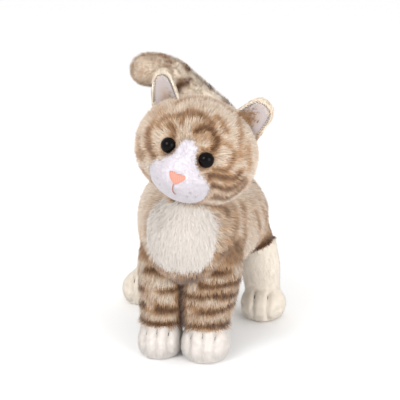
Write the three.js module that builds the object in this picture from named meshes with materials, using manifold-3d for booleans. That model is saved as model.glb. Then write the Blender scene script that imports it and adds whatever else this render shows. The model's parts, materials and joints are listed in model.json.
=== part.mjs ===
// A standing plush kitten: pile-fabric panels over stuffing, with jointed head, ears, legs and tail.
// Millimetres, +Z up, the kitten faces -Y, its left side is +X.
import * as THREE from 'three';
import { mergeVertices } from 'three/addons/utils/BufferGeometryUtils.js';
import Module from 'manifold-3d';

const wasm = await Module();
wasm.setup();

// ---- Driving dimensions ----
const LONG_PILE = 5; // panel thickness with its pile, on the tan fur
const SHORT_PILE = 3; // panel thickness on paws, hind legs and muzzle
const SEAM_GAP = 0.4; // space between neighbouring pieces
const EAR_CLEARANCE = 2.4; // space left between an ear and the head, facets of its coarse outline included
const FACET_ALLOWANCE = 1.04; // a coarse ball's facets lie inside its radius
const SOLE_THICKNESS = 2.6;
const SOCKET_CLEARANCE = 3.4; // space left around the top of a leg
const NECK_CLEARANCE = 4.8; // space left around the neck, inside the head and the torso
const TAIL_CLEARANCE = 2.6; // space left around a length of tail where it meets the one before it
const FAR = 400; // half-size of a cutting block

const HEAD_CENTRE = new THREE.Vector3(16.2, -20, 180.5);
const HEAD_RADII = new THREE.Vector3(48.5, 42, 42.5);
const HEAD_ROLL = THREE.MathUtils.degToRad(18.5); // the head leans to its left
const HEAD_YAW = THREE.MathUtils.degToRad(-4);
const NECK_PIVOT = new THREE.Vector3(13, -12, 152.5);
const NECK_RADIUS = 17;

const EYE_RADIUS = 6;
const EYE_SPREAD = 16.2;
const EYE_HEIGHT = 7.2;
const SHANK_RADIUS = 1.7;
const WASHER_RADIUS = 7.5;
const WASHER_THICKNESS = 1.6;

const SHOULDER_HEIGHT = 90.5;
const HIP_HEIGHT = 82.5;
const LEG_SWING = 15; // degrees each way
const TAIL_SWING = 20;
const EAR_FOLD = 20;

const TAN = 0xcdb496;
const CREAM = 0xe4d4be;
const WHITE = 0xf1ebe6;
const IVORY = 0xf0e6da;
const SATIN = 0xcfc6cf;
const FIBRE = 0xf6f5f2;
const THREAD_BROWN = 0x6a5040;
const NOSE_PINK = 0xf0967a;
const MOUTH_BROWN = 0x9a5a48;
const EYE_BLACK = 0x120d0c;
const WASHER_WHITE = 0xe8e8e4;

// ---- Solids from three.js geometry ----
function solid(geometry) {
  const bare = geometry.index ? geometry.toNonIndexed() : geometry.clone();
  for (const name of Object.keys(bare.attributes)) {
    if (name !== 'position') {
      bare.deleteAttribute(name);
    }
  }
  const merged = mergeVertices(bare, 1e-4);
  const triangles = [];
  const index = merged.index.array;
  for (let i = 0; i < index.length; i += 3) {
    const [a, b, c] = [index[i], index[i + 1], index[i + 2]];
    if (a !== b && b !== c && c !== a) {
      triangles.push(a, b, c);
    }
  }
  const build = (verts) => new wasm.Manifold(new wasm.Mesh({
    numProp: 3,
    vertProperties: new Float32Array(merged.attributes.position.array),
    triVerts: new Uint32Array(verts),
  }));
  const body = build(triangles);
  return body.volume() > 0 ? body : build(triangles.toReversed());
}

function geometryOf(body) {
  const mesh = body.getMesh();
  const geometry = new THREE.BufferGeometry();
  geometry.setAttribute('position', new THREE.BufferAttribute(new Float32Array(mesh.vertProperties), 3));
  geometry.setIndex(new THREE.BufferAttribute(new Uint32Array(mesh.triVerts), 1));
  geometry.computeVertexNormals();
  return geometry;
}

function reshaped(geometry, place) {
  const points = geometry.attributes.position;
  const point = new THREE.Vector3();
  for (let i = 0; i < points.count; i += 1) {
    point.fromBufferAttribute(points, i);
    place(point);
    points.setXYZ(i, point.x, point.y, point.z);
  }
  return facingOut(geometry);
}

// Turns a closed surface's triangles to face out if a reshape has mirrored it.
function facingOut(geometry) {
  const points = geometry.attributes.position;
  const index = geometry.index.array;
  const [a, b, c] = [new THREE.Vector3(), new THREE.Vector3(), new THREE.Vector3()];
  let volume = 0;
  for (let i = 0; i < index.length; i += 3) {
    a.fromBufferAttribute(points, index[i]);
    b.fromBufferAttribute(points, index[i + 1]);
    c.fromBufferAttribute(points, index[i + 2]);
    volume += a.dot(b.cross(c));
  }
  if (volume < 0) {
    geometry.index.array.reverse();
  }
  return geometry;
}

// A closed round surface whose vertices are shared, ready to reshape and to grow along its normals.
function ball(around, along) {
  const sphere = new THREE.SphereGeometry(1, around, along);
  sphere.deleteAttribute('uv');
  sphere.deleteAttribute('normal');
  return mergeVertices(sphere, 1e-4);
}

// Moves every vertex along its normal: outwards for a positive distance, inwards for a negative one.
function grown(geometry, distance) {
  const copy = geometry.clone();
  copy.computeVertexNormals();
  const points = copy.attributes.position;
  const normals = copy.attributes.normal;
  const point = new THREE.Vector3();
  const normal = new THREE.Vector3();
  for (let i = 0; i < points.count; i += 1) {
    point.fromBufferAttribute(points, i);
    normal.fromBufferAttribute(normals, i);
    point.addScaledVector(normal, distance);
    points.setXYZ(i, point.x, point.y, point.z);
  }
  return copy;
}

// A soft body along a spine. Each station is [x, y, z, half-width, half-depth]; the ends are rounded, and a
// smaller fullness gives blunter ends. frame(tangent) gives the two directions across the spine.
function sausage(stations, frame, fullness, around, along) {
  const spine = new THREE.CatmullRomCurve3(stations.map((s) => new THREE.Vector3(s[0], s[1], s[2])));
  const girth = new THREE.CatmullRomCurve3(stations.map((s) => new THREE.Vector3(s[3], s[4], 0)));
  return reshaped(ball(around, along), (point) => {
    const along01 = THREE.MathUtils.clamp((1 - point.y) / 2, 0, 1);
    const ring = Math.hypot(point.x, point.z);
    const spread = ring > 1e-6 ? ring ** fullness / ring : 0;
    const centre = spine.getPoint(along01);
    const size = girth.getPoint(along01);
    const [side, over] = frame(spine.getTangent(along01));
    const across = point.x * spread * size.x;
    const up = point.z * spread * size.y;
    point.copy(centre).addScaledVector(side, across).addScaledVector(over, up);
  });
}

const X = new THREE.Vector3(1, 0, 0);
const Y = new THREE.Vector3(0, 1, 0);
const Z = new THREE.Vector3(0, 0, 1);
const acrossBody = () => [X, Z];
const acrossLeg = () => [X, Y];
const acrossTail = (tangent) => {
  const side = new THREE.Vector3().crossVectors(tangent, Y).normalize();
  return [side, new THREE.Vector3().crossVectors(side, tangent).normalize()];
};

function lathed(profile, segments) {
  return new THREE.LatheGeometry(profile.map(([r, h]) => new THREE.Vector2(r, h)), segments);
}

// Everything on one side of a plane square to an axis.
function beyond(axis, at, direction = 1) {
  const block = new THREE.BoxGeometry(2 * FAR, 2 * FAR, 2 * FAR);
  block.translate(...axis.clone().multiplyScalar(at + direction * FAR).toArray());
  return solid(block);
}

function turned(geometry, pivot, axis, degrees) {
  const turn = new THREE.Matrix4().makeTranslation(pivot.x, pivot.y, pivot.z)
    .multiply(new THREE.Matrix4().makeRotationAxis(axis, THREE.MathUtils.degToRad(degrees)))
    .multiply(new THREE.Matrix4().makeTranslation(-pivot.x, -pivot.y, -pivot.z));
  return geometry.clone().applyMatrix4(turn);
}

// The room that a piece needs as it swings about an axis, with one degree more at each end.
function sweep(geometry, pivot, axis, swing, clearance) {
  const roomy = grown(geometry, clearance);
  const poses = [-swing - 1, 0, swing + 1].map((angle) => solid(turned(roomy, pivot, axis, angle)));
  return wasm.Manifold.union(poses);
}

const largestPiece = (body) => body.decompose().reduce((a, b) => (a.volume() > b.volume() ? a : b));

// ---- The finished kitten ----
const cat = new THREE.Group();

function addPiece(name, body, colour, roughness = 0.95) {
  const material = new THREE.MeshStandardMaterial({ color: colour, roughness, metalness: 0 });
  const mesh = new THREE.Mesh(geometryOf(largestPiece(body)), material);
  mesh.name = name;
  cat.add(mesh);
}

// ---- Outer forms ----
// Stations along a body: x, y, z, half-width, half-depth.
const TORSO = [
  [9, -42, 105, 39, 43],
  [7, 0, 104, 45, 46],
  [5, 50, 104, 52, 48],
  [3, 100, 97, 62, 52],
  [2, 150, 101, 50, 46],
];
const torsoForm = sausage(TORSO, acrossBody, 0.55, 22, 14);
const torsoCoarse = sausage(TORSO, acrossBody, 0.55, 14, 9);

const headMatrix = new THREE.Matrix4().makeTranslation(...HEAD_CENTRE.toArray())
  .multiply(new THREE.Matrix4().makeRotationZ(HEAD_YAW))
  .multiply(new THREE.Matrix4().makeRotationY(HEAD_ROLL));

// The muzzle is a bulge low on the front of the head.
const MUZZLE_REACH = 8;
const MUZZLE_HEIGHT = -14;
const MUZZLE_SPREAD = 20;
const MUZZLE_FLATNESS = 1.15;
const headSurface = (around, along) => reshaped(ball(around, along), (point) => {
  const facing = Math.max(0, -point.y);
  point.multiply(HEAD_RADII);
  const offAxis = Math.hypot(point.x, (point.z - MUZZLE_HEIGHT) * MUZZLE_FLATNESS);
  const bulge = MUZZLE_REACH * facing * Math.exp(-((offAxis / MUZZLE_SPREAD) ** 2));
  point.y -= bulge;
});
const headLocal = headSurface(20, 13);
const headForm = headLocal.clone().applyMatrix4(headMatrix);
const headCoarse = headSurface(12, 8).applyMatrix4(headMatrix);

const HEEL_HEIGHT = 3;
const ANKLE_HEIGHT = 28;
const CALF_HEIGHT = 58;
const THIGH_RISE = 0.85; // how far the leg reaches above its pivot, in thigh radii
function legForm({ foot, top, sides, splay = 0 }, around, along) {
  const ankleX = foot.x - splay;
  const shank = sausage([
    [ankleX, foot.y, HEEL_HEIGHT, sides.ankle, sides.ankle],
    [ankleX, foot.y, ANKLE_HEIGHT, sides.ankle, sides.ankle],
    [(ankleX + top.x) / 2, (foot.y + top.y) / 2, CALF_HEIGHT, sides.calf, sides.calf],
    [top.x, top.y, top.z, sides.thigh, sides.thigh],
    [top.x, top.y, top.z + sides.thigh * THIGH_RISE, sides.thigh, sides.thigh],
  ], acrossLeg, 0.5, around, along);
  const paw = reshaped(ball(around, along - 2), (point) => {
    point.multiply(new THREE.Vector3(sides.pawWidth, sides.pawLength, sides.pawHeight));
    point.add(new THREE.Vector3(foot.x, foot.y + sides.pawForward, sides.pawLift));
  });
  return [shank, paw];
}

const FRONT_RIGHT_SIDES = {
  ankle: 18.5,
  calf: 19.5,
  thigh: 20.5,
  pawWidth: 18.5,
  pawLength: 23,
  pawHeight: 17,
  pawForward: -6,
  pawLift: 11.5,
};
const FRONT_LEFT_SIDES = { ...FRONT_RIGHT_SIDES, ankle: 19, calf: 23.5, thigh: 25.5, pawWidth: 20 };
const HIND_SIDES = {
  ankle: 16.5,
  calf: 18.5,
  thigh: 18,
  pawWidth: 20,
  pawLength: 25,
  pawHeight: 17,
  pawForward: -7,
  pawLift: 11.5,
};
// splay is how far the paw stands out from its ankle. furredTo is the height where tan fur meets the white paw; grooves are the places between the toes, in
// spacings from the middle of the paw.
const LEGS = [
  {
    name: 'front_left',
    foot: new THREE.Vector3(20.5, 4, 0),
    top: new THREE.Vector3(27, 1, SHOULDER_HEIGHT),
    sides: FRONT_LEFT_SIDES,
    outward: 1,
    furredTo: 27,
    grooves: [-1, 0, 1],
  },
  {
    name: 'front_right',
    foot: new THREE.Vector3(-18.5, 7, 0),
    top: new THREE.Vector3(-16, 2, SHOULDER_HEIGHT),
    sides: FRONT_RIGHT_SIDES,
    outward: -1,
    furredTo: 27,
    grooves: [-1, 0, 1],
  },
  {
    name: 'hind_left',
    foot: new THREE.Vector3(56, 111, 0),
    top: new THREE.Vector3(45, 106, HIP_HEIGHT),
    sides: HIND_SIDES,
    splay: 2,
    outward: 1,
    furredTo: 0,
    grooves: [-0.6, 0.6],
  },
  {
    name: 'hind_right',
    foot: new THREE.Vector3(-61, 135, 0),
    top: new THREE.Vector3(-34, 118, HIP_HEIGHT),
    sides: HIND_SIDES,
    splay: -8,
    outward: -1,
    furredTo: 0,
    grooves: [-0.6, 0.6],
  },
];

const TAIL = [ // stations, as for the torso
  [4, 136, 114.5, 14, 14],
  [13, 148, 132, 14.5, 14.5],
  [16, 152, 152, 15, 15],
  [10.5, 150, 172.5, 15, 15],
  [-5, 145, 188.5, 15, 15],
  [-21, 138, 203.5, 15, 15],
  [-37, 126, 216, 15, 15],
  [-52.5, 113, 218.5, 15, 15],
];
const TAIL_PARTS = [ // each length's stations, and the one that it turns on
  { name: 'root', stations: [0, 1, 2, 3], pivot: 0 },
  { name: 'middle', stations: [3, 4, 5], pivot: 3 },
  { name: 'tip', stations: [5, 6, 7], pivot: 5 },
];

// Toe stitches: a loop of thread through the front of the paw at each groove, and the thread between them.
const LOOP_RADIUS = 8.4;
const LOOP_PROUD = 0.6; // how far a loop stands out of the paw
const THREAD = 1.2;
const TOE_RECESS = 3.2; // the side toes stand this far behind the middle ones
function toeLoops(leg, makeLoop, grow) {
  const spacing = leg.sides.pawWidth * 0.5;
  const front = leg.foot.y + leg.sides.pawForward - leg.sides.pawLength + LOOP_RADIUS - LOOP_PROUD;
  const height = leg.sides.pawLift + 1;
  const tieDepth = TOE_RECESS + THREAD + 2 * grow;
  const width = 2 * spacing * leg.grooves.at(-1);
  const tie = new THREE.BoxGeometry(width, tieDepth, THREAD + 2 * grow);
  tie.translate(leg.foot.x, front + LOOP_RADIUS - THREAD / 2 - grow + tieDepth / 2, height);
  let thread = solid(tie);
  for (const toe of leg.grooves) {
    const loop = makeLoop();
    loop.rotateZ(Math.PI / 2);
    loop.translate(leg.foot.x + toe * spacing, front + Math.abs(toe) * TOE_RECESS, height);
    thread = thread.add(solid(loop));
  }
  return thread;
}
const threadLoop = () => {
  const [inside, outside, side] = [LOOP_RADIUS - THREAD, LOOP_RADIUS, THREAD / 2];
  return lathed([[inside, -side], [outside, -side], [outside, side], [inside, side], [inside, -side]], 8);
};
const threadSlot = () => {
  const radius = LOOP_RADIUS + SEAM_GAP;
  return new THREE.CylinderGeometry(radius, radius, THREAD + 2 * SEAM_GAP, 8);
};

// The room around a leg's top as it swings: a ball on the pivot, and a flare that widens below it.
const FLARE_DROP = 50;
const FLARE_SPARE = 7; // degrees wider than the leg swings
function legRoom(leg) {
  const radius = leg.sides.thigh + SOCKET_CLEARANCE;
  const socket = new THREE.SphereGeometry(radius * FACET_ALLOWANCE, 10, 6);
  socket.translate(...leg.top.toArray());
  const slope = Math.tan(THREE.MathUtils.degToRad(LEG_SWING + FLARE_SPARE));
  const lean = leg.foot.clone().sub(leg.top).divideScalar(leg.top.z);
  const flare = new THREE.CylinderGeometry(1, 1, FLARE_DROP, 8);
  flare.rotateX(Math.PI / 2);
  reshaped(flare, (point) => {
    const below = FLARE_DROP / 2 - point.z;
    point.x = leg.top.x + point.x * radius + lean.x * below;
    point.y = leg.top.y + point.y * (radius + slope * below) + lean.y * below;
    point.z = leg.top.z - below;
  });
  return solid(socket).add(solid(flare));
}

// ---- Legs ----
const MIDLINE = 1.5; // the front legs stand against each other on this plane
const MIDLINE_MARGIN = 0.5; // each front leg stops this far short of it
const torsoRooms = [];

for (const leg of LEGS) {
  const furred = leg.furredTo > 0;
  const pile = furred ? LONG_PILE : SHORT_PILE;
  const [shank, paw] = legForm(leg, 14, 9);
  const [coarseShank, coarsePaw] = legForm(leg, 8, 7);
  const ownSide = (margin) => (
    furred ? beyond(X, MIDLINE + leg.outward * margin, leg.outward) : beyond(Z, -1)
  );
  const outer = solid(shank).add(solid(paw)).intersect(beyond(Z, 0)).intersect(ownSide(MIDLINE_MARGIN));
  const filled = (gap) => solid(grown(coarseShank, -pile - gap))
    .add(solid(grown(coarsePaw, -SHORT_PILE - gap)))
    .intersect(ownSide(MIDLINE_MARGIN + SHORT_PILE + gap));
  const threadRoom = toeLoops(leg, threadSlot, SEAM_GAP);
  const shell = outer.subtract(filled(0)).subtract(threadRoom);

  const soleTop = SOLE_THICKNESS + SEAM_GAP;
  const seam = (leg.foot.x + leg.top.x) / 2;
  const rightHalf = beyond(X, seam - SEAM_GAP / 2, -1);
  const leftHalf = beyond(X, seam + SEAM_GAP / 2);
  const [outside, inside] = leg.outward > 0 ? [leftHalf, rightHalf] : [rightHalf, leftHalf];
  const sleeve = shell.intersect(beyond(Z, furred ? leg.furredTo + SEAM_GAP : soleTop));
  addPiece(`${leg.name}_leg_outer_panel`, sleeve.intersect(outside), furred ? TAN : IVORY);
  addPiece(`${leg.name}_leg_inner_panel`, sleeve.intersect(inside), furred ? TAN : IVORY);
  if (furred) {
    const cuffed = shell.intersect(beyond(Z, leg.furredTo, -1));
    addPiece(`${leg.name}_paw`, cuffed.intersect(beyond(Z, soleTop)), WHITE);
  }
  addPiece(`${leg.name}_paw_sole`, outer.intersect(beyond(Z, SOLE_THICKNESS, -1)), IVORY);
  const filling = filled(SEAM_GAP).intersect(beyond(Z, soleTop + SEAM_GAP)).subtract(threadRoom);
  addPiece(`${leg.name}_leg_stuffing`, filling, FIBRE, 1);
  addPiece(`${leg.name}_toe_stitches`, toeLoops(leg, threadLoop, 0), THREAD_BROWN, 0.7);
  torsoRooms.push(legRoom(leg));
}

// ---- Tail ----
const tailForm = (part, around, along) => (
  sausage(part.stations.map((i) => TAIL[i]), acrossTail, 0.45, around, along)
);
const pivotOf = (part) => new THREE.Vector3(TAIL[part.pivot][0], TAIL[part.pivot][1], TAIL[part.pivot][2]);
const CURL_AXIS = Y;
const OPENING_RADIUS = 6; // the hole at a sleeve's base, where its stuffing meets what comes before it
const OPENING_LENGTH = 14;
const tailRoom = (part, axis) => (
  sweep(tailForm(part, 10, 7), pivotOf(part), axis, TAIL_SWING, TAIL_CLEARANCE)
);
torsoRooms.push(tailRoom(TAIL_PARTS[0], Z));

TAIL_PARTS.forEach((part, i) => {
  const form = tailForm(part, 12, 8);
  const coarse = tailForm(part, 8, 7);
  let sleeve = solid(form).subtract(solid(grown(coarse, -LONG_PILE)));
  let filling = solid(grown(coarse, -LONG_PILE - SEAM_GAP));
  if (i + 1 < TAIL_PARTS.length) {
    const room = tailRoom(TAIL_PARTS[i + 1], CURL_AXIS);
    sleeve = sleeve.subtract(room);
    filling = filling.subtract(room);
  }
  const start = pivotOf(part);
  const next = new THREE.Vector3(...TAIL[part.stations[1]].slice(0, 3));
  const opening = new THREE.CylinderGeometry(OPENING_RADIUS, OPENING_RADIUS, OPENING_LENGTH, 8);
  opening.applyQuaternion(new THREE.Quaternion().setFromUnitVectors(Y, next.clone().sub(start).normalize()));
  opening.translate(start.x, start.y, start.z);
  sleeve = sleeve.subtract(solid(opening));
  addPiece(`tail_${part.name}_sleeve`, sleeve, CREAM);
  addPiece(`tail_${part.name}_stuffing`, filling, FIBRE, 1);
});

// ---- Neck ----
const neckStations = [
  [NECK_PIVOT.x - 3, NECK_PIVOT.y + 4, NECK_PIVOT.z - 30, NECK_RADIUS, NECK_RADIUS],
  [NECK_PIVOT.x - 1, NECK_PIVOT.y + 2, NECK_PIVOT.z - 12, NECK_RADIUS, NECK_RADIUS],
  [NECK_PIVOT.x, NECK_PIVOT.y, NECK_PIVOT.z + 8, NECK_RADIUS, NECK_RADIUS],
];
const neckForm = sausage(neckStations, acrossLeg, 0.5, 10, 6);
const neckCoarse = sausage(neckStations, acrossLeg, 0.5, 8, 5);
const neckRoom = solid(grown(neckCoarse, NECK_CLEARANCE));
torsoRooms.push(neckRoom);

// The hollow that the head turns and nods in.
const HEAD_ROOM = new THREE.Vector3(6.5, 13, 6);
const hollowRadii = HEAD_RADII.clone().add(HEAD_ROOM).toArray();
torsoRooms.push(solid(ball(12, 8).scale(...hollowRadii).applyMatrix4(headMatrix)));
addPiece('neck_stuffing', solid(neckForm), FIBRE, 1);

// ---- Torso ----
const torsoRoom = wasm.Manifold.union(torsoRooms);
const torsoShell = solid(torsoForm).subtract(solid(grown(torsoCoarse, -LONG_PILE))).subtract(torsoRoom);
const torsoCore = solid(grown(torsoCoarse, -LONG_PILE - SEAM_GAP)).subtract(torsoRoom);

// An outline in the XZ plane pushed along Y from one depth to another.
function prism(outline, from, to) {
  const shape = new THREE.Shape();
  shape.moveTo(outline[0][0], outline[0][1]);
  shape.splineThru([...outline.slice(1), outline[0]].map(([x, z]) => new THREE.Vector2(x, z)));
  const block = new THREE.ExtrudeGeometry(shape, { depth: to - from, bevelEnabled: false, curveSegments: 2 });
  block.rotateX(Math.PI / 2);
  block.translate(0, to, 0);
  return block;
}

// An outline drawn larger or smaller about a middle point.
const scaled = (outline, [x0, z0], factor) => (
  outline.map(([x, z]) => [x0 + (x - x0) * factor, z0 + (z - z0) * factor])
);

const BIB_OUTLINE = [[-14, 138], [-19, 124], [-18, 108], [-8, 98], [8, 93], [24, 98], [34, 108], [35, 124],
  [30, 138], [18, 146], [-4, 146]];
const BIB_MIDDLE = [8, 118];
const BIB_FRONT = -80;
const BIB_BACK = -4;
const BIB_CUT_SCALE = 1.02; // leaves a seam gap around the bib
addPiece('chest_bib', torsoShell.intersect(solid(prism(BIB_OUTLINE, BIB_FRONT, BIB_BACK))), WHITE);
const bibCut = solid(prism(scaled(BIB_OUTLINE, BIB_MIDDLE, BIB_CUT_SCALE), BIB_FRONT, BIB_BACK + SEAM_GAP));
const aroundBib = torsoShell.subtract(bibCut);
const BELLY_HEIGHT = 70;
const BELLY_FRONT = 24;
const BELLY_BACK = 88;
const bellyBlock = (margin) => beyond(Z, BELLY_HEIGHT - SEAM_GAP + margin, -1)
  .intersect(beyond(Y, BELLY_FRONT - margin))
  .intersect(beyond(Y, BELLY_BACK + margin, -1));
addPiece('belly_gusset', aroundBib.intersect(bellyBlock(0)), CREAM);
const SPINE_LINE = 4;
const flanks = aroundBib.subtract(bellyBlock(SEAM_GAP));
addPiece('torso_left_panel', flanks.intersect(beyond(X, SPINE_LINE + SEAM_GAP / 2)), TAN);
addPiece('torso_right_panel', flanks.intersect(beyond(X, SPINE_LINE - SEAM_GAP / 2, -1)), TAN);
addPiece('torso_stuffing', torsoCore, FIBRE, 1);

// ---- Head ----
const inHead = (geometry) => solid(geometry.applyMatrix4(headMatrix));
const headShape = new THREE.Mesh(headLocal, new THREE.MeshBasicMaterial({ side: THREE.DoubleSide }));
const caster = new THREE.Raycaster();
function faceDepth(x, z) {
  caster.set(new THREE.Vector3(x, -FAR, z), Y);
  return caster.intersectObject(headShape)[0].point.y;
}

const MUZZLE_OUTLINE = [[0, 17.5], [6, 14.5], [8.5, 6], [14, -1], [22.5, -8], [25, -17], [21, -28], [11, -36],
  [0, -38.5], [-11, -36], [-21, -28], [-25, -17], [-22.5, -8], [-14, -1], [-8.5, 6], [-6, 14.5]];
const MUZZLE_MIDDLE = [0, -10];
const MUZZLE_FRONT = -90;
const muzzleBlock = inHead(prism(scaled(MUZZLE_OUTLINE, MUZZLE_MIDDLE, 0.985), MUZZLE_FRONT, 0));
const muzzleCut = inHead(prism(scaled(MUZZLE_OUTLINE, MUZZLE_MIDDLE, 1.02), MUZZLE_FRONT, 1));

// Eyes: a domed lens with a shank through the fabric, and the washer that locks it inside.
const EYE_DOME = 5.1; // the lens is a little flatter than a half ball
const EYE_SINK = 2.2; // how far the lens sits into the pile
const SHANK_LENGTH = 13;
const EYE_RIM = 1.2; // depth of the lens behind its widest ring
const EYE_STEPS = 5;
const eyeProfile = [
  [0, -SHANK_LENGTH],
  [SHANK_RADIUS, -SHANK_LENGTH],
  [SHANK_RADIUS, -EYE_RIM],
  [EYE_RADIUS, -EYE_RIM],
];
for (let step = 0; step < EYE_STEPS; step += 1) {
  const angle = (step / EYE_STEPS) * (Math.PI / 2);
  eyeProfile.push([EYE_RADIUS * Math.cos(angle), EYE_DOME * Math.sin(angle)]);
}
eyeProfile.push([0, EYE_DOME]);
const SHANK_ROOM = SHANK_RADIUS + 0.6;
const LENS_ROOM = EYE_RADIUS + 0.9;
const eyeRoomProfile = [
  [0, -SHANK_LENGTH - 1],
  [SHANK_ROOM, -SHANK_LENGTH - 1],
  [SHANK_ROOM, -EYE_RIM - 0.6],
  [LENS_ROOM, -EYE_RIM - 0.6],
  [LENS_ROOM, EYE_RADIUS],
  [0, EYE_RADIUS],
];
const headRooms = [];
const washerRooms = [];
const EYES = [];
for (const [name, sign] of [['left', 1], ['right', -1]]) {
  const x = sign * EYE_SPREAD;
  const gaze = new THREE.Vector3(sign * 0.26, -0.95, 0.12).normalize();
  const seat = new THREE.Vector3(x, faceDepth(x, EYE_HEIGHT), EYE_HEIGHT).addScaledVector(gaze, -EYE_SINK);
  const place = new THREE.Matrix4().compose(
    seat,
    new THREE.Quaternion().setFromUnitVectors(Y, gaze),
    new THREE.Vector3(1, 1, 1),
  );
  const set = (geometry) => inHead(geometry.applyMatrix4(place));
  const washerHeight = -LONG_PILE - WASHER_THICKNESS - SEAM_GAP * 4;
  const washerTop = washerHeight + WASHER_THICKNESS;
  const hole = SHANK_RADIUS + SEAM_GAP;
  const washer = lathed([[hole, washerHeight], [WASHER_RADIUS, washerHeight], [WASHER_RADIUS, washerTop],
    [hole, washerTop], [hole, washerHeight]], 14);
  const roomRadius = WASHER_RADIUS + SEAM_GAP;
  const room = new THREE.CylinderGeometry(roomRadius, roomRadius, WASHER_THICKNESS + 2 * SEAM_GAP, 12);
  room.translate(0, washerHeight + WASHER_THICKNESS / 2, 0);
  EYES.push([name, set(lathed(eyeProfile, 16)), set(washer)]);
  headRooms.push(set(lathed(eyeRoomProfile, 10)));
  washerRooms.push(set(room));
}

// Nose: a satin-stitched rounded triangle. Mouth: one line of thread with a small hook.
const NOSE_HEIGHT = -11;
const NOSE_OUTLINE = [[0, 3.6], [4.6, 4.2], [6.6, 2.2], [4.6, -1.6], [1.2, -5], [-1.2, -5], [-4.6, -1.6],
  [-6.6, 2.2], [-4.6, 4.2]];
const noseDepth = faceDepth(0, NOSE_HEIGHT);
const NOSE_PROUD = 1.6;
const NOSE_SUNK = 2.4;
const nose = (grow) => {
  const outline = scaled(NOSE_OUTLINE, [0, 0], 1 + grow / 5).map(([x, z]) => [x, z + NOSE_HEIGHT]);
  return inHead(prism(outline, noseDepth - NOSE_PROUD - grow, noseDepth + NOSE_SUNK + grow));
};
const mouth = (grow) => {
  const points = [[0, -16.9], [0.2, -20], [0.2, -22.9], [1.4, -24.9], [3, -25.5]].map(
    ([x, z]) => new THREE.Vector3(x, faceDepth(x, z) - 0.1, z),
  );
  const round = new THREE.Shape();
  round.absarc(0, 0, 0.55 + grow, 0, 2 * Math.PI);
  return inHead(new THREE.ExtrudeGeometry(round, {
    steps: 6, curveSegments: 3, bevelEnabled: false, extrudePath: new THREE.CatmullRomCurve3(points),
  }));
};

headRooms.push(nose(SEAM_GAP), mouth(SEAM_GAP));
const faceRoom = wasm.Manifold.union(headRooms);
const headShell = solid(headForm).subtract(solid(grown(headCoarse, -LONG_PILE))).subtract(faceRoom)
  .subtract(neckRoom);
const headCore = solid(grown(headCoarse, -LONG_PILE - SEAM_GAP)).subtract(faceRoom).subtract(neckRoom)
  .subtract(wasm.Manifold.union(washerRooms));
const blockIn = (x0, x1, z0, z1) => {
  const block = new THREE.BoxGeometry(x1 - x0, 2 * FAR, z1 - z0);
  block.translate((x0 + x1) / 2, 0, (z0 + z1) / 2);
  return inHead(block);
};
const GUSSET_HALF = 14;
const GUSSET_FOOT = 4;
const CHIN_LINE = -27;
addPiece('muzzle_patch', headShell.intersect(muzzleBlock), WHITE);
const aroundMuzzle = headShell.subtract(muzzleCut);
const half = SEAM_GAP / 2;
const gusset = blockIn(-GUSSET_HALF + half, GUSSET_HALF - half, GUSSET_FOOT, FAR);
addPiece('forehead_gusset', aroundMuzzle.intersect(gusset), TAN);
const gussetCut = blockIn(-GUSSET_HALF - half, GUSSET_HALF + half, GUSSET_FOOT - SEAM_GAP, FAR);
const cheeks = aroundMuzzle.subtract(gussetCut);
addPiece('chin_panel', cheeks.intersect(blockIn(-FAR, FAR, -FAR, CHIN_LINE - half)), TAN);
const aboveChin = cheeks.intersect(blockIn(-FAR, FAR, CHIN_LINE + half, FAR));
addPiece('head_left_panel', aboveChin.intersect(blockIn(half, FAR, -FAR, FAR)), TAN);
addPiece('head_right_panel', aboveChin.intersect(blockIn(-FAR, -half, -FAR, FAR)), TAN);
addPiece('head_stuffing', headCore, FIBRE, 1);
for (const [name, eye, washer] of EYES) {
  addPiece(`${name}_eye`, eye, EYE_BLACK, 0.08);
  addPiece(`${name}_eye_washer`, washer, WASHER_WHITE, 0.5);
}
addPiece('nose', nose(0), NOSE_PINK, 0.6);
addPiece('mouth_stitch', mouth(0), MOUTH_BROWN, 0.7);

// ---- Ears ----
// A cupped pad: a flattened ball with a rounded-triangle outline.
function earPad(width, height, thickness, cup, forward) {
  return reshaped(ball(14, 8), (point) => {
    const upright = point.y;
    const flat = -point.z;
    const taper = 1 - 0.33 * upright - 0.1 * upright * upright;
    const x = point.x * (width / 2) * taper;
    point.set(x, flat * thickness / 2 + forward - cup * x * x, (upright + 1) * height / 2);
  });
}

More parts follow.
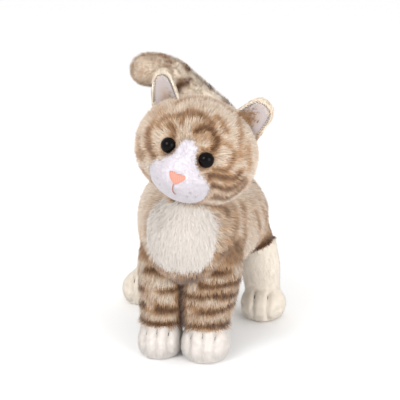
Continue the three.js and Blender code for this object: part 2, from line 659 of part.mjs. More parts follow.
const EAR_CUP = 0.022;
const EAR_THICKNESS = 7;
const LINING_THICKNESS = 3;
const LINING_WIDTH = 0.8; // of the ear's own
const LINING_HEIGHT = 0.84;
const LINING_FORWARD = -1.6;
const EARS = [
  {
    name: 'left',
    base: new THREE.Vector3(51.5, -12, 196),
    width: 32,
    height: 32,
    roll: 43,
    yaw: 12,
    lean: 8,
  },
  {
    name: 'right',
    base: new THREE.Vector3(-8, -12, 203.5),
    width: 31,
    height: 40,
    roll: -10,
    yaw: -30,
    lean: 2,
  },
];
for (const ear of EARS) {
  const turn = new THREE.Matrix4().makeRotationFromEuler(new THREE.Euler(
    THREE.MathUtils.degToRad(ear.lean),
    THREE.MathUtils.degToRad(ear.roll),
    THREE.MathUtils.degToRad(ear.yaw),
    'ZYX',
  ));
  const place = new THREE.Matrix4().makeTranslation(...ear.base.toArray()).multiply(turn);
  const hinge = X.clone().applyMatrix4(turn).normalize();
  const headRoom = sweep(headCoarse, ear.base, hinge, EAR_FOLD, EAR_CLEARANCE);
  const set = (geometry) => solid(geometry.applyMatrix4(place)).subtract(headRoom);
  const liningPad = () => (
    earPad(ear.width * LINING_WIDTH, ear.height * LINING_HEIGHT, LINING_THICKNESS, EAR_CUP, LINING_FORWARD)
  );
  const back = set(earPad(ear.width, ear.height, EAR_THICKNESS, EAR_CUP, 1));
  addPiece(`${ear.name}_ear_back`, back.subtract(set(grown(liningPad(), 2 * SEAM_GAP))), CREAM);
  addPiece(`${ear.name}_ear_lining`, set(liningPad()), SATIN, 0.6);
}

// The origin is the middle of the footprint, on the floor.
const extent = new THREE.Box3().setFromObject(cat);
const middle = extent.getCenter(new THREE.Vector3());
cat.position.set(-middle.x, -middle.y, -extent.min.z);

export default cat;
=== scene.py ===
"""Looks of a standing plush kitten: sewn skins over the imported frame, and a pile of mesh strands on them."""
import json
import math

import bmesh
import bpy
import numpy as np
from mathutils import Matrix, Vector
from mathutils.bvhtree import BVHTree


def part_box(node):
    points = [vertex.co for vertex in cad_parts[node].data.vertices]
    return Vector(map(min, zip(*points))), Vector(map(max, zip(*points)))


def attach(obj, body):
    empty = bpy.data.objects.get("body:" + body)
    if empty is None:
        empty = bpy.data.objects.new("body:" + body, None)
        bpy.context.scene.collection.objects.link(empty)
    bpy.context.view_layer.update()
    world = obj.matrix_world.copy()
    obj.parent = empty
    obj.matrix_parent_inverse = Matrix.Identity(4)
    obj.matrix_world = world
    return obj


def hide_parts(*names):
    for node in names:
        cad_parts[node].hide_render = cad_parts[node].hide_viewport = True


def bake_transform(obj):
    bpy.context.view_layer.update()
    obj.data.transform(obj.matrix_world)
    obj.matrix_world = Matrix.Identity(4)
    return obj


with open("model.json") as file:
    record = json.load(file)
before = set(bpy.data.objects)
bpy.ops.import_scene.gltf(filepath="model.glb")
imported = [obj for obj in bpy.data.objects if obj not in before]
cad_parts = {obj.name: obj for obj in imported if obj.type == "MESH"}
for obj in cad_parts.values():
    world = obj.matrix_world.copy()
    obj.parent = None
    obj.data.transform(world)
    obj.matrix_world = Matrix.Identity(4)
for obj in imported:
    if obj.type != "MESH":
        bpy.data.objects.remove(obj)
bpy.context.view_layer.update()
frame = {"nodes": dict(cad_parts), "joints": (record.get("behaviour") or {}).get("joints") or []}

MM = 0.001
LEGS = ("front_left", "front_right", "hind_left", "hind_right")
NODES = frame["nodes"]
JOINTS = {joint["name"]: joint for joint in frame["joints"]}


# ---- Places that come from the frame, in millimetres ----
def box_mm(node):
    low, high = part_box(node)
    return np.array(low) / MM, np.array(high) / MM


def middle(node):
    low, high = box_mm(node)
    return (low + high) / 2


def pivot(joint):
    return np.array(JOINTS[joint]["pos_m"]) / MM


def unit(vector):
    vector = np.asarray(vector, float)
    return vector / np.maximum(np.linalg.norm(vector, axis=-1, keepdims=True), 1e-9)


HEAD_OVER_NECK = np.array([3.2, -8, 28])
HEAD_SIDE = unit(middle("left_eye") - middle("right_eye"))
HEAD_MIDDLE = pivot("head_turn") + HEAD_OVER_NECK
HEAD_FORWARD = unit(np.cross(HEAD_SIDE, [0, 0, 1]))
HEAD_UP = unit(np.cross(HEAD_SIDE, -HEAD_FORWARD))


def in_head(points):
    """Points as (to the kitten's left, backwards, up) from the middle of its head."""
    offset = points - HEAD_MIDDLE
    return np.stack([offset @ HEAD_SIDE, offset @ -HEAD_FORWARD, offset @ HEAD_UP], axis=-1)


def from_head(local):
    local = np.asarray(local, float)
    across, back, up = local[..., :1], local[..., 1:2], local[..., 2:3]
    return HEAD_MIDDLE + across * HEAD_SIDE - back * HEAD_FORWARD + up * HEAD_UP


# ---- Mesh helpers ----
def joined(name, nodes):
    shell = bmesh.new()
    for node in nodes:
        shell.from_mesh(NODES[node].data)
    mesh = bpy.data.meshes.new(name)
    shell.to_mesh(mesh)
    shell.free()
    piece = bpy.data.objects.new(name, mesh)
    bpy.context.scene.collection.objects.link(piece)
    return piece


def hulled(piece):
    shell = bmesh.new()
    shell.from_mesh(piece.data)
    result = bmesh.ops.convex_hull(shell, input=shell.verts)
    kept = {part for part in result["geom"] if isinstance(part, bmesh.types.BMFace)}
    bmesh.ops.delete(shell, geom=[face for face in shell.faces if face not in kept], context="FACES")
    loose = [vert for vert in shell.verts if not vert.link_faces]
    bmesh.ops.delete(shell, geom=loose, context="VERTS")
    shell.to_mesh(piece.data)
    shell.free()
    return piece


def applied(piece, kind, **settings):
    modifier = piece.modifiers.new(kind.lower(), kind)
    for key, value in settings.items():
        setattr(modifier, key, value)
    bpy.context.view_layer.update()
    shaped = piece.evaluated_get(bpy.context.evaluated_depsgraph_get())
    mesh = bpy.data.meshes.new_from_object(shaped)
    piece.modifiers.clear()
    old = piece.data
    piece.data = mesh
    bpy.data.meshes.remove(old)
    return piece


def remeshed(piece, voxel_mm):
    return applied(piece, "REMESH", mode="VOXEL", voxel_size=voxel_mm * MM, use_smooth_shade=True)


def smoothed(piece, rounds):
    return applied(piece, "SMOOTH", factor=0.5, iterations=rounds)


def subdivided(piece, levels):
    return applied(piece, "SUBSURF", levels=levels, render_levels=levels)


PRESSURE = 4.0
STUFFING_FRAMES = 20


def stuffed(piece, cap_mm):
    """Fills a skin out by cloth simulation under pressure. No point moves further than the cap."""
    scene = bpy.context.scene
    before = points_of(piece.data)
    modifier = piece.modifiers.new("stuffing", "CLOTH")
    modifier.settings.use_pressure = True
    modifier.settings.uniform_pressure_force = PRESSURE
    modifier.settings.effector_weights.gravity = 0
    modifier.point_cache.frame_start = 1
    modifier.point_cache.frame_end = STUFFING_FRAMES
    for step in range(1, STUFFING_FRAMES + 1):
        scene.frame_set(step)
    shaped = piece.evaluated_get(bpy.context.evaluated_depsgraph_get())
    move = points_of(shaped.data) - before
    piece.modifiers.clear()
    far = np.linalg.norm(move, axis=1, keepdims=True)
    place(piece.data, before + move * np.minimum(1, cap_mm / np.maximum(far, 1e-6)))
    scene.frame_set(1)
    return piece


def points_of(mesh):
    flat = np.empty(len(mesh.vertices) * 3, np.float32)
    mesh.vertices.foreach_get("co", flat)
    return flat.reshape(-1, 3).astype(float) / MM


def normals_of(mesh):
    flat = np.empty(len(mesh.vertices) * 3, np.float32)
    mesh.vertex_normals.foreach_get("vector", flat)
    return flat.reshape(-1, 3).astype(float)


def place(mesh, points_mm):
    mesh.vertices.foreach_set("co", (points_mm * MM).astype(np.float32).ravel())
    mesh.update()


def pushed(piece, distance_mm):
    """Moves each point along its normal: a number, or one number a point."""
    mesh = piece.data
    distance = np.broadcast_to(np.asarray(distance_mm, float), (len(mesh.vertices),))
    place(mesh, points_of(mesh) + normals_of(mesh) * distance[:, None])
    return piece


def set_numbers(mesh, name, values, domain="POINT"):
    attribute = mesh.attributes.new(name, "FLOAT", domain)
    attribute.data.foreach_set("value", np.asarray(values, np.float32))


def smoothstep(low, high, values):
    ramp = np.clip((np.asarray(values, float) - low) / (high - low), 0, 1)
    return ramp * ramp * (3 - 2 * ramp)


# ---- Seeded smooth noise, used for tabby stripes that wander and break up ----
def wobble(points, scale_mm, seed):
    """A smooth value about -1 to 1 at each point, from a few crossed waves."""
    waves = np.random.default_rng(seed)
    total = np.zeros(len(points))
    for _ in range(7):
        direction = unit(waves.normal(size=3))
        pace = 2 * math.pi / (scale_mm * waves.uniform(0.7, 1.6))
        total += np.sin(points @ direction * pace + waves.uniform(0, 2 * math.pi))
    return total / 3.2


def wander(points, scale_mm, seeds, reach_mm):
    """Small smooth shifts of the points, so that a mark's course isn't even."""
    return reach_mm * np.stack([wobble(points, scale_mm, seed) for seed in seeds], axis=1)


def ridge(values, width):
    """1 on a stripe's middle line, falling to 0 over its width."""
    return np.exp(-(values / width) ** 2)


def stroke(points, path, width):
    """How strongly each point lies on a brushed mark that follows a path."""
    nearest = np.full(len(points), np.inf)
    path = np.asarray(path, float)
    for start, end in zip(path[:-1], path[1:]):
        span = end - start
        along = np.clip((points - start) @ span / (span @ span), 0, 1)
        gap = np.linalg.norm(points - (start + along[:, None] * span), axis=1)
        nearest = np.minimum(nearest, gap)
    return ridge(nearest, width)


# ---- Tabby pattern: 0 is pale fur, 1 is the darkest brown ----
# Marks on the head are (left, back, up) from its middle, with a width and a strength.
HEAD_MARKS = (
    ([(-16, -27.7, 27.9), (-11.8, -23.9, 33.3), (-4.8, -24.3, 33.9), (2.4, -24.9, 33.7), (9.8, -26.4, 31.3)],
     3.2, 0.8),
    ([(1.2, -34.4, 23.8), (5.5, -30.4, 28.4), (12.9, -30.5, 26.4), (17.4, -32.6, 21.6), (17.1, -36.3, 15)],
     3.6, 1.0),
    ([(-23.3, -15.6, 33.3), (-17.6, -8.3, 38), (-8.7, -2.8, 41), (3.3, -0.5, 41.7), (15.8, -2.1, 39.7)],
     2.6, 0.6),
    ([(-13.1, -31.8, 24.9), (-11.1, -27.6, 30.1), (-5.2, -26.2, 32.2)], 2.6, 0.7),
    ([(9.1, -20.6, 35.4), (15.9, -22, 32.7), (20.4, -24.2, 29.3)], 2.6, 0.65),
    ([(-28.3, -29.5, 16.4), (-25.4, -27.5, 22.1), (-19.3, -27.9, 26.2)], 2.8, 0.7),
    ([(-20.5, -31.9, 20.6), (-15.8, -35.3, 17.9), (-15.1, -37.8, 13.5)], 2.8, 0.8),
    ([(-34.6, -27.3, 10), (-33.2, -30.2, 2.6), (-28.5, -34, -3.2), (-24.7, -36.7, -5.6)], 3.6, 0.85),
    ([(-31.9, -25.7, 17.8), (-34.1, -26.3, 12.8), (-34.1, -28.5, 6.9)], 3.0, 0.6),
    ([(21.7, -30.4, 21.7), (27.9, -27.6, 19.7)], 2.2, 0.5),
    ([(24.6, -36.6, 1.2), (31, -32, 3.5), (32.9, -28.8, 10), (31.6, -26.2, 17.3)], 2.6, 0.7),
    ([(22.6, -38.2, -3.9), (30.4, -32.8, -2.2), (38, -25.3, -3.2), (40.2, -22.5, 2.8)], 3.4, 0.9),
    ([(25.6, -34.7, -11.4), (32.6, -28.5, -12), (40.9, -19.6, -9.3), (43.7, -16.7, -3.1)], 3.4, 0.95),
    ([(29.6, -24.4, -22.7), (36.2, -16.5, -22.5), (42.5, -12.7, -14.5), (45.2, -11.1, -6.9)], 4.0, 0.95),
    ([(22.4, -1.7, 36.8), (27.8, -11.4, 32.3), (31.4, -19.9, 24.3), (36.4, -22.2, 15.4)], 2.6, 0.5),
    ([(36.3, -12.4, 24.5), (41.3, -14.6, 15.6), (44.4, -14.9, 5.4)], 2.6, 0.5),
    ([(-41.1, -21.6, -1), (-38.4, -24, -8), (-34.4, -25.2, -14.8)], 2.6, 0.6),
    ([(9.7, -38.8, 14.4), (13, -38.2, 14.2), (15.4, -36.4, 16.1)], 2.2, 0.6),
    ([(-34, -28, -10), (-38, -20, -14), (-40, -12, -14)], 3.6, 0.6),
    ([(-24, -26, -28), (-32, -18, -26), (-38, -8, -22)], 4.0, 0.6),
    ([(-6, 8, 42), (-8, 24, 36), (-8, 36, 22), (-7, 41, 8)], 3.6, 0.85),
    ([(7, 8, 42), (9, 24, 36), (9, 36, 22), (8, 41, 8)], 3.6, 0.85),
    ([(-22, 10, 36), (-26, 24, 26), (-25, 34, 12)], 3.6, 0.7),
    ([(22, 10, 36), (26, 24, 26), (25, 34, 12)], 3.6, 0.7),
    ([(-40, 10, 14), (-42, 14, -2), (-36, 24, -14)], 3.8, 0.6),
    ([(40, 10, 14), (42, 14, -2), (36, 24, -14)], 3.8, 0.6),
)
# Points and marks are compared at this distance from the head's middle.
HEAD_REACH = 43.5
LASH_RADIUS = 7.5


def head_tone(points):
    """The marks, a dark ring of lashes round each eye, and painted shade under the chin."""
    local = unit(in_head(points) + wander(points, 12, (3, 4, 5), 0.8)) * HEAD_REACH
    tone = np.zeros(len(points))
    for path, width, strength in HEAD_MARKS:
        tone = np.maximum(tone, strength * stroke(local, unit(np.array(path, float)) * HEAD_REACH, width))
    for side in ("left", "right"):
        lash = np.linalg.norm(points - eye_apex(side)[0], axis=1)
        tone = np.maximum(tone, 0.8 * ridge(lash - LASH_RADIUS, 1.8))
    # Painted shade: darker fur under the chin, where the head shades itself and the neck.
    under = smoothstep(-26, -36, local[:, 2]) * 0.6
    base = 0.1 + 0.12 * wobble(points, 24, 8)
    return np.clip(np.maximum.reduce([tone, under, base]) + 0.08 * wobble(points, 7, 6), 0, 1)


FLANK_SPACING = 19
HAUNCH_EDGE = 64
# The right flank repeats the left one's marks, fainter and a little shifted.
MIRROR = np.array([-1, 1, 1])
MIRROR_SHIFT = np.array([4, 4, 0])
MIRROR_STRENGTH = 0.8
# Marks on the chest and the flank are (left, back, up) on the skin, with a width and a strength.
CHEST_MARKS = (
    ([(30.4, -69.1, 140.4), (34.5, -58.7, 131.9), (39, -54.3, 125.6)], 5, 1),
    ([(41.2, -41.4, 127.5), (44.6, -49.3, 116.9), (43.9, -57.8, 107.5), (37.7, -75, 106.6)], 4.4, 0.85),
    ([(46.2, -24.3, 125.3), (49.7, -33.2, 110.4), (48.5, -36.1, 96.9), (43.8, -35.3, 85.4)], 4.6, 0.9),
    ([(54.1, -2.3, 113), (56.6, 9.7, 96.1), (53.4, 22.1, 80.7)], 4.4, 0.9),
    ([(57.8, 20.6, 109.2), (59, 32, 94), (54, 40, 80)], 4.4, 0.9),
    ([(59, 44, 108), (58, 52, 92), (54, 56, 78)], 4.2, 0.8),
    ([(47, 26, 66), (57, 26, 73), (62, 26, 80), (64, 26, 87)], 5.5, 0.95),
    ([(22.4, -84, 88.9), (30.8, -72.8, 86.3), (36.1, -40.4, 78.8), (43.2, -30.9, 82.4)], 6, 0.95),
    ([(34.3, -79.7, 100.9), (41.2, -60.5, 96.8), (46.7, -41.3, 95.5)], 3.8, 0.7),
    ([(-32, -50, 106), (-30, -56, 96), (-22, -66, 90)], 4.5, 0.7),
    ([(-24, -62, 86), (-14, -73, 86), (-3, -80.4, 85.6)], 5.5, 0.9),
)


def torso_tone(points):
    """Rings round the body, a dark line along the back, dark fur along the haunches, and painted shade on the
    chest below the bib.
    """
    low, high = TORSO_BOX
    across = points[:, 0] - (low[0] + high[0]) / 2
    side = np.abs(across)
    height = points[:, 2] + 2.5 * wobble(points, 30, 14)
    # Each ring leans back towards its lower end.
    along = points[:, 1] + 4 * wobble(points, 40, 11) - 10 * smoothstep(100, 60, height)
    phase = along / FLANK_SPACING
    rings = ridge((phase - np.round(phase)) * FLANK_SPACING, 4.4)
    rings = rings * smoothstep(-0.75, -0.1, wobble(points, 32, 12)) * smoothstep(56, 66, height) * 0.9
    back = ridge(across + 2 * wobble(points, 30, 13), 7) * smoothstep(122, 138, points[:, 2]) * 0.9
    haunch_line = HAUNCH_EDGE + 4 + 0.5 * (side - 45)
    haunch = ridge(height - haunch_line, 7) * smoothstep(0, 22, points[:, 1]) * smoothstep(20, 36, side)
    # Painted shade: the front of the chest below the bib is darkened, in the hollow above the front legs.
    under = smoothstep(84, 76, height) * smoothstep(-45, -62, points[:, 1])
    shoulder = ridge(height - 88 - 0.25 * side, 6) * smoothstep(24, 34, side)
    shoulder = shoulder * smoothstep(-30, -50, points[:, 1])
    marks = np.zeros(len(points))
    moved = points + wander(points, 16, (61, 62, 63), 1.2)
    for path, width, strength in CHEST_MARKS:
        marks = np.maximum(marks, strength * stroke(moved, path, width))
        mirrored = stroke(moved * MIRROR + MIRROR_SHIFT, path, width)
        marks = np.maximum(marks, strength * mirrored * MIRROR_STRENGTH)
    tone = np.maximum.reduce([
        rings * smoothstep(18, 34, points[:, 1]), back, haunch, under, shoulder * 0.8, marks,
    ])
    base = 0.09 + 0.1 * wobble(points, 30, 17)
    return np.clip(np.maximum(tone, base) + 0.08 * wobble(points, 9, 16), 0, 1)


LEG_BAND_HEIGHTS = {"front_left": (81, 69, 58.5, 47.5, 31), "front_right": (78, 61, 44.5, 31)}


def leg_tone(leg):
    def tone(points):
        shift = 1.8 * wobble(points, 30, 21)
        bands = np.zeros(len(points))
        for number, height in enumerate(LEG_BAND_HEIGHTS[leg]):
            gap = points[:, 2] - height - shift
            broken = smoothstep(-0.9, -0.2, wobble(points, 26, 22 + number))
            bands = np.maximum(bands, ridge(gap, 3.7) * broken)
        # Painted shade: the inner sides of the front legs are darkened where they face each other, in the
        # crease between them.
        inner = smoothstep(8, 1, np.abs(points[:, 0] - LEG_MIDLINE))
        top = smoothstep(80, 90, points[:, 2]) * 0.6
        base = 0.08 + 0.1 * wobble(points, 26, 28)
        return np.clip(np.maximum.reduce([bands, inner, top, base]) + 0.08 * wobble(points, 8, 27), 0, 1)
    return tone


# Brown marks on the tail: distance along it, width and strength.
TAIL_BANDS = (
    (26, 4.5, 0.8), (46, 4.5, 0.8), (66, 5, 0.85), (88, 4.5, 0.8), (112, 5, 1), (139, 5, 1), (160, 3.5, 0.6),
)


def tail_tone(points):
    along = tail_distance(points) + 2.5 * wobble(points, 26, 31)
    tone = 0.04 + 0.05 * wobble(points, 22, 37)
    for number, (distance, width, strength) in enumerate(TAIL_BANDS):
        broken = smoothstep(-0.9, -0.1, wobble(points, 20, 32 + number))
        tone = np.maximum(tone, ridge(along - distance, width) * broken * strength)
    tip = smoothstep(142, 158, along) * 0.24
    return np.clip(np.maximum(tone, tip) + 0.06 * wobble(points, 8, 39), 0, 1)


def plain_tone(points):
    return np.zeros(len(points))


# ---- Materials ----
def linear(red, green, blue):
    """An 8-bit screen colour as the shader's linear values."""
    shades = []
    for value in (red, green, blue):
        share = value / 255
        shades.append(share / 12.92 if share <= 0.04045 else ((share + 0.055) / 1.055) ** 2.4)
    return (*shades, 1.0)


def new_material(name, roughness, sheen=0.0):
    material = bpy.data.materials.new(name)
    material.use_nodes = True
    shader = material.node_tree.nodes["Principled BSDF"]
    shader.inputs["Roughness"].default_value = roughness
    shader.inputs["Specular IOR Level"].default_value = 0.25
    if sheen:
        shader.inputs["Sheen Weight"].default_value = sheen
        shader.inputs["Sheen Roughness"].default_value = 0.5
    return material, shader


def node(tree, kind, **settings):
    made = tree.nodes.new(kind)
    for key, value in settings.items():
        if hasattr(made, key):
            setattr(made, key, value)
        else:
            made.inputs[key].default_value = value
    return made


def attribute(tree, name):
    return node(tree, "ShaderNodeAttribute", attribute_name=name).outputs["Fac"]


def ramp(tree, factor, stops):
    made = tree.nodes.new("ShaderNodeValToRGB")
    elements = made.color_ramp.elements
    while len(elements) < len(stops):
        elements.new(0.5)
    for element, (position, colour) in zip(elements, stops):
        element.position = position
        element.color = colour
    tree.links.new(factor, made.inputs["Fac"])
    return made.outputs["Color"]


def mixed(tree, factor, first, second, blend="MIX"):
    made = node(tree, "ShaderNodeMix", data_type="RGBA", blend_type=blend)
    for socket, value in (("Factor", factor), ("A", first), ("B", second)):
        target = [i for i in made.inputs if i.name == socket and (socket == "Factor" or i.type == "RGBA")][0]
        if isinstance(value, bpy.types.NodeSocket):
            tree.links.new(value, target)
        else:
            target.default_value = value
    return [o for o in made.outputs if o.type == "RGBA"][0]


def noise(tree, scale, detail=3.0):
    made = node(tree, "ShaderNodeTexNoise")
    made.inputs["Scale"].default_value = scale
    made.inputs["Detail"].default_value = detail
    place_on = tree.nodes.new("ShaderNodeTexCoord")
    tree.links.new(place_on.outputs["Object"], made.inputs["Vector"])
    return made.outputs["Fac"]


def bump(tree, shader, height, strength, distance_mm):
    made = node(tree, "ShaderNodeBump")
    made.inputs["Strength"].default_value = strength
    made.inputs["Distance"].default_value = distance_mm * MM
    tree.links.new(height, made.inputs["Height"])
    tree.links.new(made.outputs["Normal"], shader.inputs["Normal"])


def grey(share):
    return (share, share, share, 1)


def paint(tree, shader, base, shade):
    """Gives a shader its base colour, multiplied by a shade."""
    tree.links.new(mixed(tree, 1.0, base, shade, "MULTIPLY"), shader.inputs["Base Color"])


def strand_material(name, pale, mid, dark, root_shade=0.62, grain_low=0.7):
    """Pile, coloured by a strand's tabby tone, its own grain, and painted shade set by how near its tip a
    point is: darker towards the root.
    """
    material, shader = new_material(name, 0.85, sheen=0.25)
    tree = material.node_tree
    base = ramp(tree, attribute(tree, "tone"), ((0.0, pale), (0.38, mid), (1.0, dark)))
    grain = ramp(tree, attribute(tree, "grain"), ((0.0, grey(grain_low)), (1.0, grey(1.08))))
    varied = mixed(tree, 1.0, base, grain, "MULTIPLY")
    # Painted shade: root_shade darkens each strand near its root, standing in for the shade deep in the pile.
    depth = ramp(tree, attribute(tree, "tip"), ((0.0, grey(root_shade)), (0.8, grey(1.05))))
    paint(tree, shader, varied, depth)
    return material


def backing_material(name, pale, dark, white=None, share=None, shade=0.8):
    """The knitted backing that shows between the strands. It is white where the named attribute says so."""
    material, shader = new_material(name, 0.95, sheen=0.2)
    tree = material.node_tree
    base = ramp(tree, attribute(tree, "tone"), ((0.0, pale), (1.0, dark)))
    if white:
        base = mixed(tree, attribute(tree, share), base, white)
    grain = noise(tree, 900)
    varied = ramp(tree, grain, ((0.3, grey(shade)), (0.7, grey(1))))
    paint(tree, shader, base, varied)
    bump(tree, shader, grain, 0.6, 0.5)
    return material


TAN_PALE = linear(242, 223, 202)
TAN_MID = linear(206, 163, 122)
TAN_DARK = linear(106, 67, 38)
CREAM = linear(250, 238, 220)
BIB_WHITE = linear(234, 226, 218)
PAW_WHITE = linear(238, 231, 225)
IVORY = linear(238, 228, 214)
MUZZLE_WHITE = linear(224, 218, 224)


# ---- Skins ----
# How far a skin lies inside the panel it stands for, under long pile and under short pile.
LONG_INSET = 2.2
SHORT_INSET = 0.2
TORSO_NODES = ("torso_left_panel", "torso_right_panel", "chest_bib", "belly_gusset")
HEAD_NODES = ("head_left_panel", "head_right_panel", "forehead_gusset", "chin_panel", "muzzle_patch")
TORSO_BOX = (
    np.min([box_mm(n)[0] for n in TORSO_NODES], axis=0),
    np.max([box_mm(n)[1] for n in TORSO_NODES], axis=0),
)
LEG_MIDLINE = (box_mm("front_left_leg_inner_panel")[0][0] + box_mm("front_right_leg_inner_panel")[1][0]) / 2


def nearness(points, node_name):
    """Distance in millimetres from each point to a CAD panel."""
    tree = BVHTree.FromPolygons(
        [v.co / MM for v in NODES[node_name].data.vertices],
        [p.vertices[:] for p in NODES[node_name].data.polygons],
    )
    return np.array([tree.find_nearest(Vector(p))[3] for p in points])


def patch_share(points, node_name, others, blur):
    """1 where a panel is the nearest one, 0 where another is, with a soft edge."""
    own = nearness(points, node_name)
    rest = np.min([nearness(points, other) for other in others], axis=0)
    return smoothstep(-blur, blur, rest - own)


CHEST_PUFF = 8
CHEST_MIDDLE = np.array([9, 0, 120])
NECK_GROWTH = 6
# The white bib, across the body and up: its middle, and half its width and height.
BIB_MIDDLE = np.array([7.3, 115.5])
BIB_HALF = np.array([26.5, 26.5])


def merge(piece, other):
    """Adds the mesh of a second piece to a first one."""
    shell = bmesh.new()
    shell.from_mesh(piece.data)
    shell.from_mesh(other.data)
    shell.to_mesh(piece.data)
    shell.free()
    bpy.data.objects.remove(other)


def bib_share(points):
    """1 on the bib: a rounded square on the chest with a ragged edge."""
    offset = (points[:, [0, 2]] - BIB_MIDDLE) / BIB_HALF
    reach = (np.abs(offset) ** 2.8).sum(axis=1) ** (1 / 2.8) + 0.03 * wobble(points, 9, 51)
    return smoothstep(1.04, 0.97, reach) * smoothstep(-50, -62, points[:, 1])


def torso_skin():
    skin = hulled(joined("torso_skin", TORSO_NODES))
    neck = pushed(hulled(joined("neck_skin", ("neck_stuffing",))), NECK_GROWTH)
    merge(skin, neck)
    remeshed(skin, 5)
    smoothed(skin, 4)
    pushed(skin, -LONG_INSET - 0.8)
    stuffed(skin, 3)
    subdivided(skin, 1)
    smoothed(skin, 3)
    points = points_of(skin.data)
    away = points - CHEST_MIDDLE
    puff = CHEST_PUFF * np.exp(-(away[:, 0] / 30) ** 2 - (away[:, 2] / 24) ** 2)
    puff = puff * smoothstep(0.0, 0.6, -normals_of(skin.data)[:, 1]) * smoothstep(-20, -50, points[:, 1])
    place(skin.data, points - puff[:, None] * np.array([0, 1, 0]))
    points = points_of(skin.data)
    bib = bib_share(points)
    set_numbers(skin.data, "tone", torso_tone(points) * (1 - bib))
    set_numbers(skin.data, "white", bib)
    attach(skin, "torso")
    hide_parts(*TORSO_NODES, "torso_stuffing", "neck_stuffing")
    return skin


# The muzzle's mound, cheeks and chin: across and up from the head's middle, how far each spreads
# and how far it stands out.
MUZZLE_LOBES = ((0, -15, 17, 4.0), (-10, -17, 10, 2.6), (9.5, -19, 10, 2.6), (0, -28, 7, 2.2))


def head_skin():
    skin = joined("head_skin", (*HEAD_NODES, "head_stuffing"))
    remeshed(skin, 2.4)
    smoothed(skin, 10)
    points = points_of(skin.data)
    others = [n for n in HEAD_NODES if n != "muzzle_patch"]
    muzzle = patch_share(points, "muzzle_patch", others, 0.8)
    soft = patch_share(points, "muzzle_patch", others, 3.0)
    pushed(skin, -LONG_INSET + (LONG_INSET - SHORT_INSET) * soft)
    local = in_head(points_of(skin.data))
    puff = np.zeros(len(local))
    for x, z, spread, height in MUZZLE_LOBES:
        puff += height * ridge(np.hypot(local[:, 0] - x, local[:, 2] - z), spread)
    place(skin.data, points_of(skin.data) + HEAD_FORWARD * (puff * soft)[:, None])
    smoothed(skin, 2)
    points = points_of(skin.data)
    set_numbers(skin.data, "tone", head_tone(points) * (1 - muzzle))
    set_numbers(skin.data, "white", muzzle)
    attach(skin, "head")
    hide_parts(*HEAD_NODES, "head_stuffing")
    return skin


TOES = {"front": (-1, 0, 1), "hind": (-0.6, 0.6)}
THREAD_WIDTH = 1.2
GROOVE_DEPTH = 1.7
GROOVE_WIDTH = 2.1
PAW_GROWTH = 1.9
LEG_FUR_INSET = 1.0


def toe_places(leg):
    """The middle line of each groove between a paw's toes, across the body."""
    grooves = TOES[leg.split("_")[0]]
    low, high = box_mm(f"{leg}_toe_stitches")
    spacing = (high[0] - low[0] - THREAD_WIDTH) / (2 * grooves[-1])
    return [(low[0] + high[0]) / 2 + groove * spacing for groove in grooves]


def leg_skin(leg):
    furred = leg.startswith("front")
    nodes = [f"{leg}_leg_outer_panel", f"{leg}_leg_inner_panel", f"{leg}_leg_stuffing", f"{leg}_paw_sole"]
    if furred:
        nodes.append(f"{leg}_paw")
    skin = joined(f"{leg}_leg_skin", nodes)
    remeshed(skin, 3.2)
    smoothed(skin, 2)
    standing = smoothstep(0.5, 4.0, points_of(skin.data)[:, 2])
    pushed(skin, -0.8 * standing)
    stuffed(skin, 1.2)
    subdivided(skin, 2)
    points = points_of(skin.data)
    if furred:
        cuff = box_mm(f"{leg}_paw")[1][2]
        fur = smoothstep(cuff - 2, cuff + 5, points[:, 2])
        towards_other = 1 if leg.endswith("right") else -1
        inner = smoothstep(0.3, 0.9, normals_of(skin.data)[:, 0] * towards_other)
        inset = (LEG_FUR_INSET + PAW_GROWTH) * fur * (1 - 0.8 * inner) - PAW_GROWTH
    else:
        edge = HAUNCH_EDGE + 0.5 * (np.abs(points[:, 0]) - 45) + 1.2 * wobble(points, 14, 52)
        fur = smoothstep(edge - 3, edge + 1, points[:, 2])
        inset = (LEG_FUR_INSET + PAW_GROWTH) * fur - PAW_GROWTH
    normals = normals_of(skin.data)
    front = smoothstep(0.05, 0.5, -normals[:, 1]) * smoothstep(2, 5, points[:, 2])
    front = front * smoothstep(30, 22, points[:, 2])
    for toe in toe_places(leg):
        inset = inset + GROOVE_DEPTH * ridge(points[:, 0] - toe, GROOVE_WIDTH) * front
    standing = smoothstep(0.5, 3.0, points[:, 2])
    pushed(skin, -inset * standing)
    points = points_of(skin.data)
    set_numbers(skin.data, "white", 1 - fur)
    set_numbers(skin.data, "tone", (leg_tone(leg)(points) if furred else torso_tone(points)) * fur)
    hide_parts(*nodes)
    return skin


def blend_leg(piece):
    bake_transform(piece)


def read(skin, name):
    values = np.empty(len(skin.data.vertices), np.float32)
    skin.data.attributes[name].data.foreach_get("value", values)
    return values.astype(float)


# ---- Strands ----
CLUMP_MM = 2.4
TONE_SPREAD = 0.07
LIFT_SPREAD = 0.18
# A lined strand has a second face, this far behind the first, so that it is lit from both sides.
LINING_MM = 0.04
CELL_FILL = 0.5


def bake_cells(mesh, count, roots):
    """Gives each strand a cell of its own in the UV square, so that its colour keeps its own place there."""
    cells = math.ceil(math.sqrt(count))
    order = np.lexsort((roots[:, 0], roots[:, 1], np.round(roots[:, 2] / 3)))
    rank = np.empty(count, int)
    rank[order] = np.arange(count)
    corner = np.stack([rank % cells, rank // cells], axis=1) / cells
    shape = np.array([(0, 0), (1, 0), (1, 0.5), (0, 0.5), (0, 0.5), (1, 0.5), (0.5, 1)])
    shape = (0.5 + (shape - 0.5) * CELL_FILL) / cells
    layer = mesh.uv_layers.new(name="OFBake")
    uvs = (corner[:, None, :] + shape[None]).reshape(-1, 2)
    layer.data.foreach_set("uv", uvs.astype(np.float32).ravel())


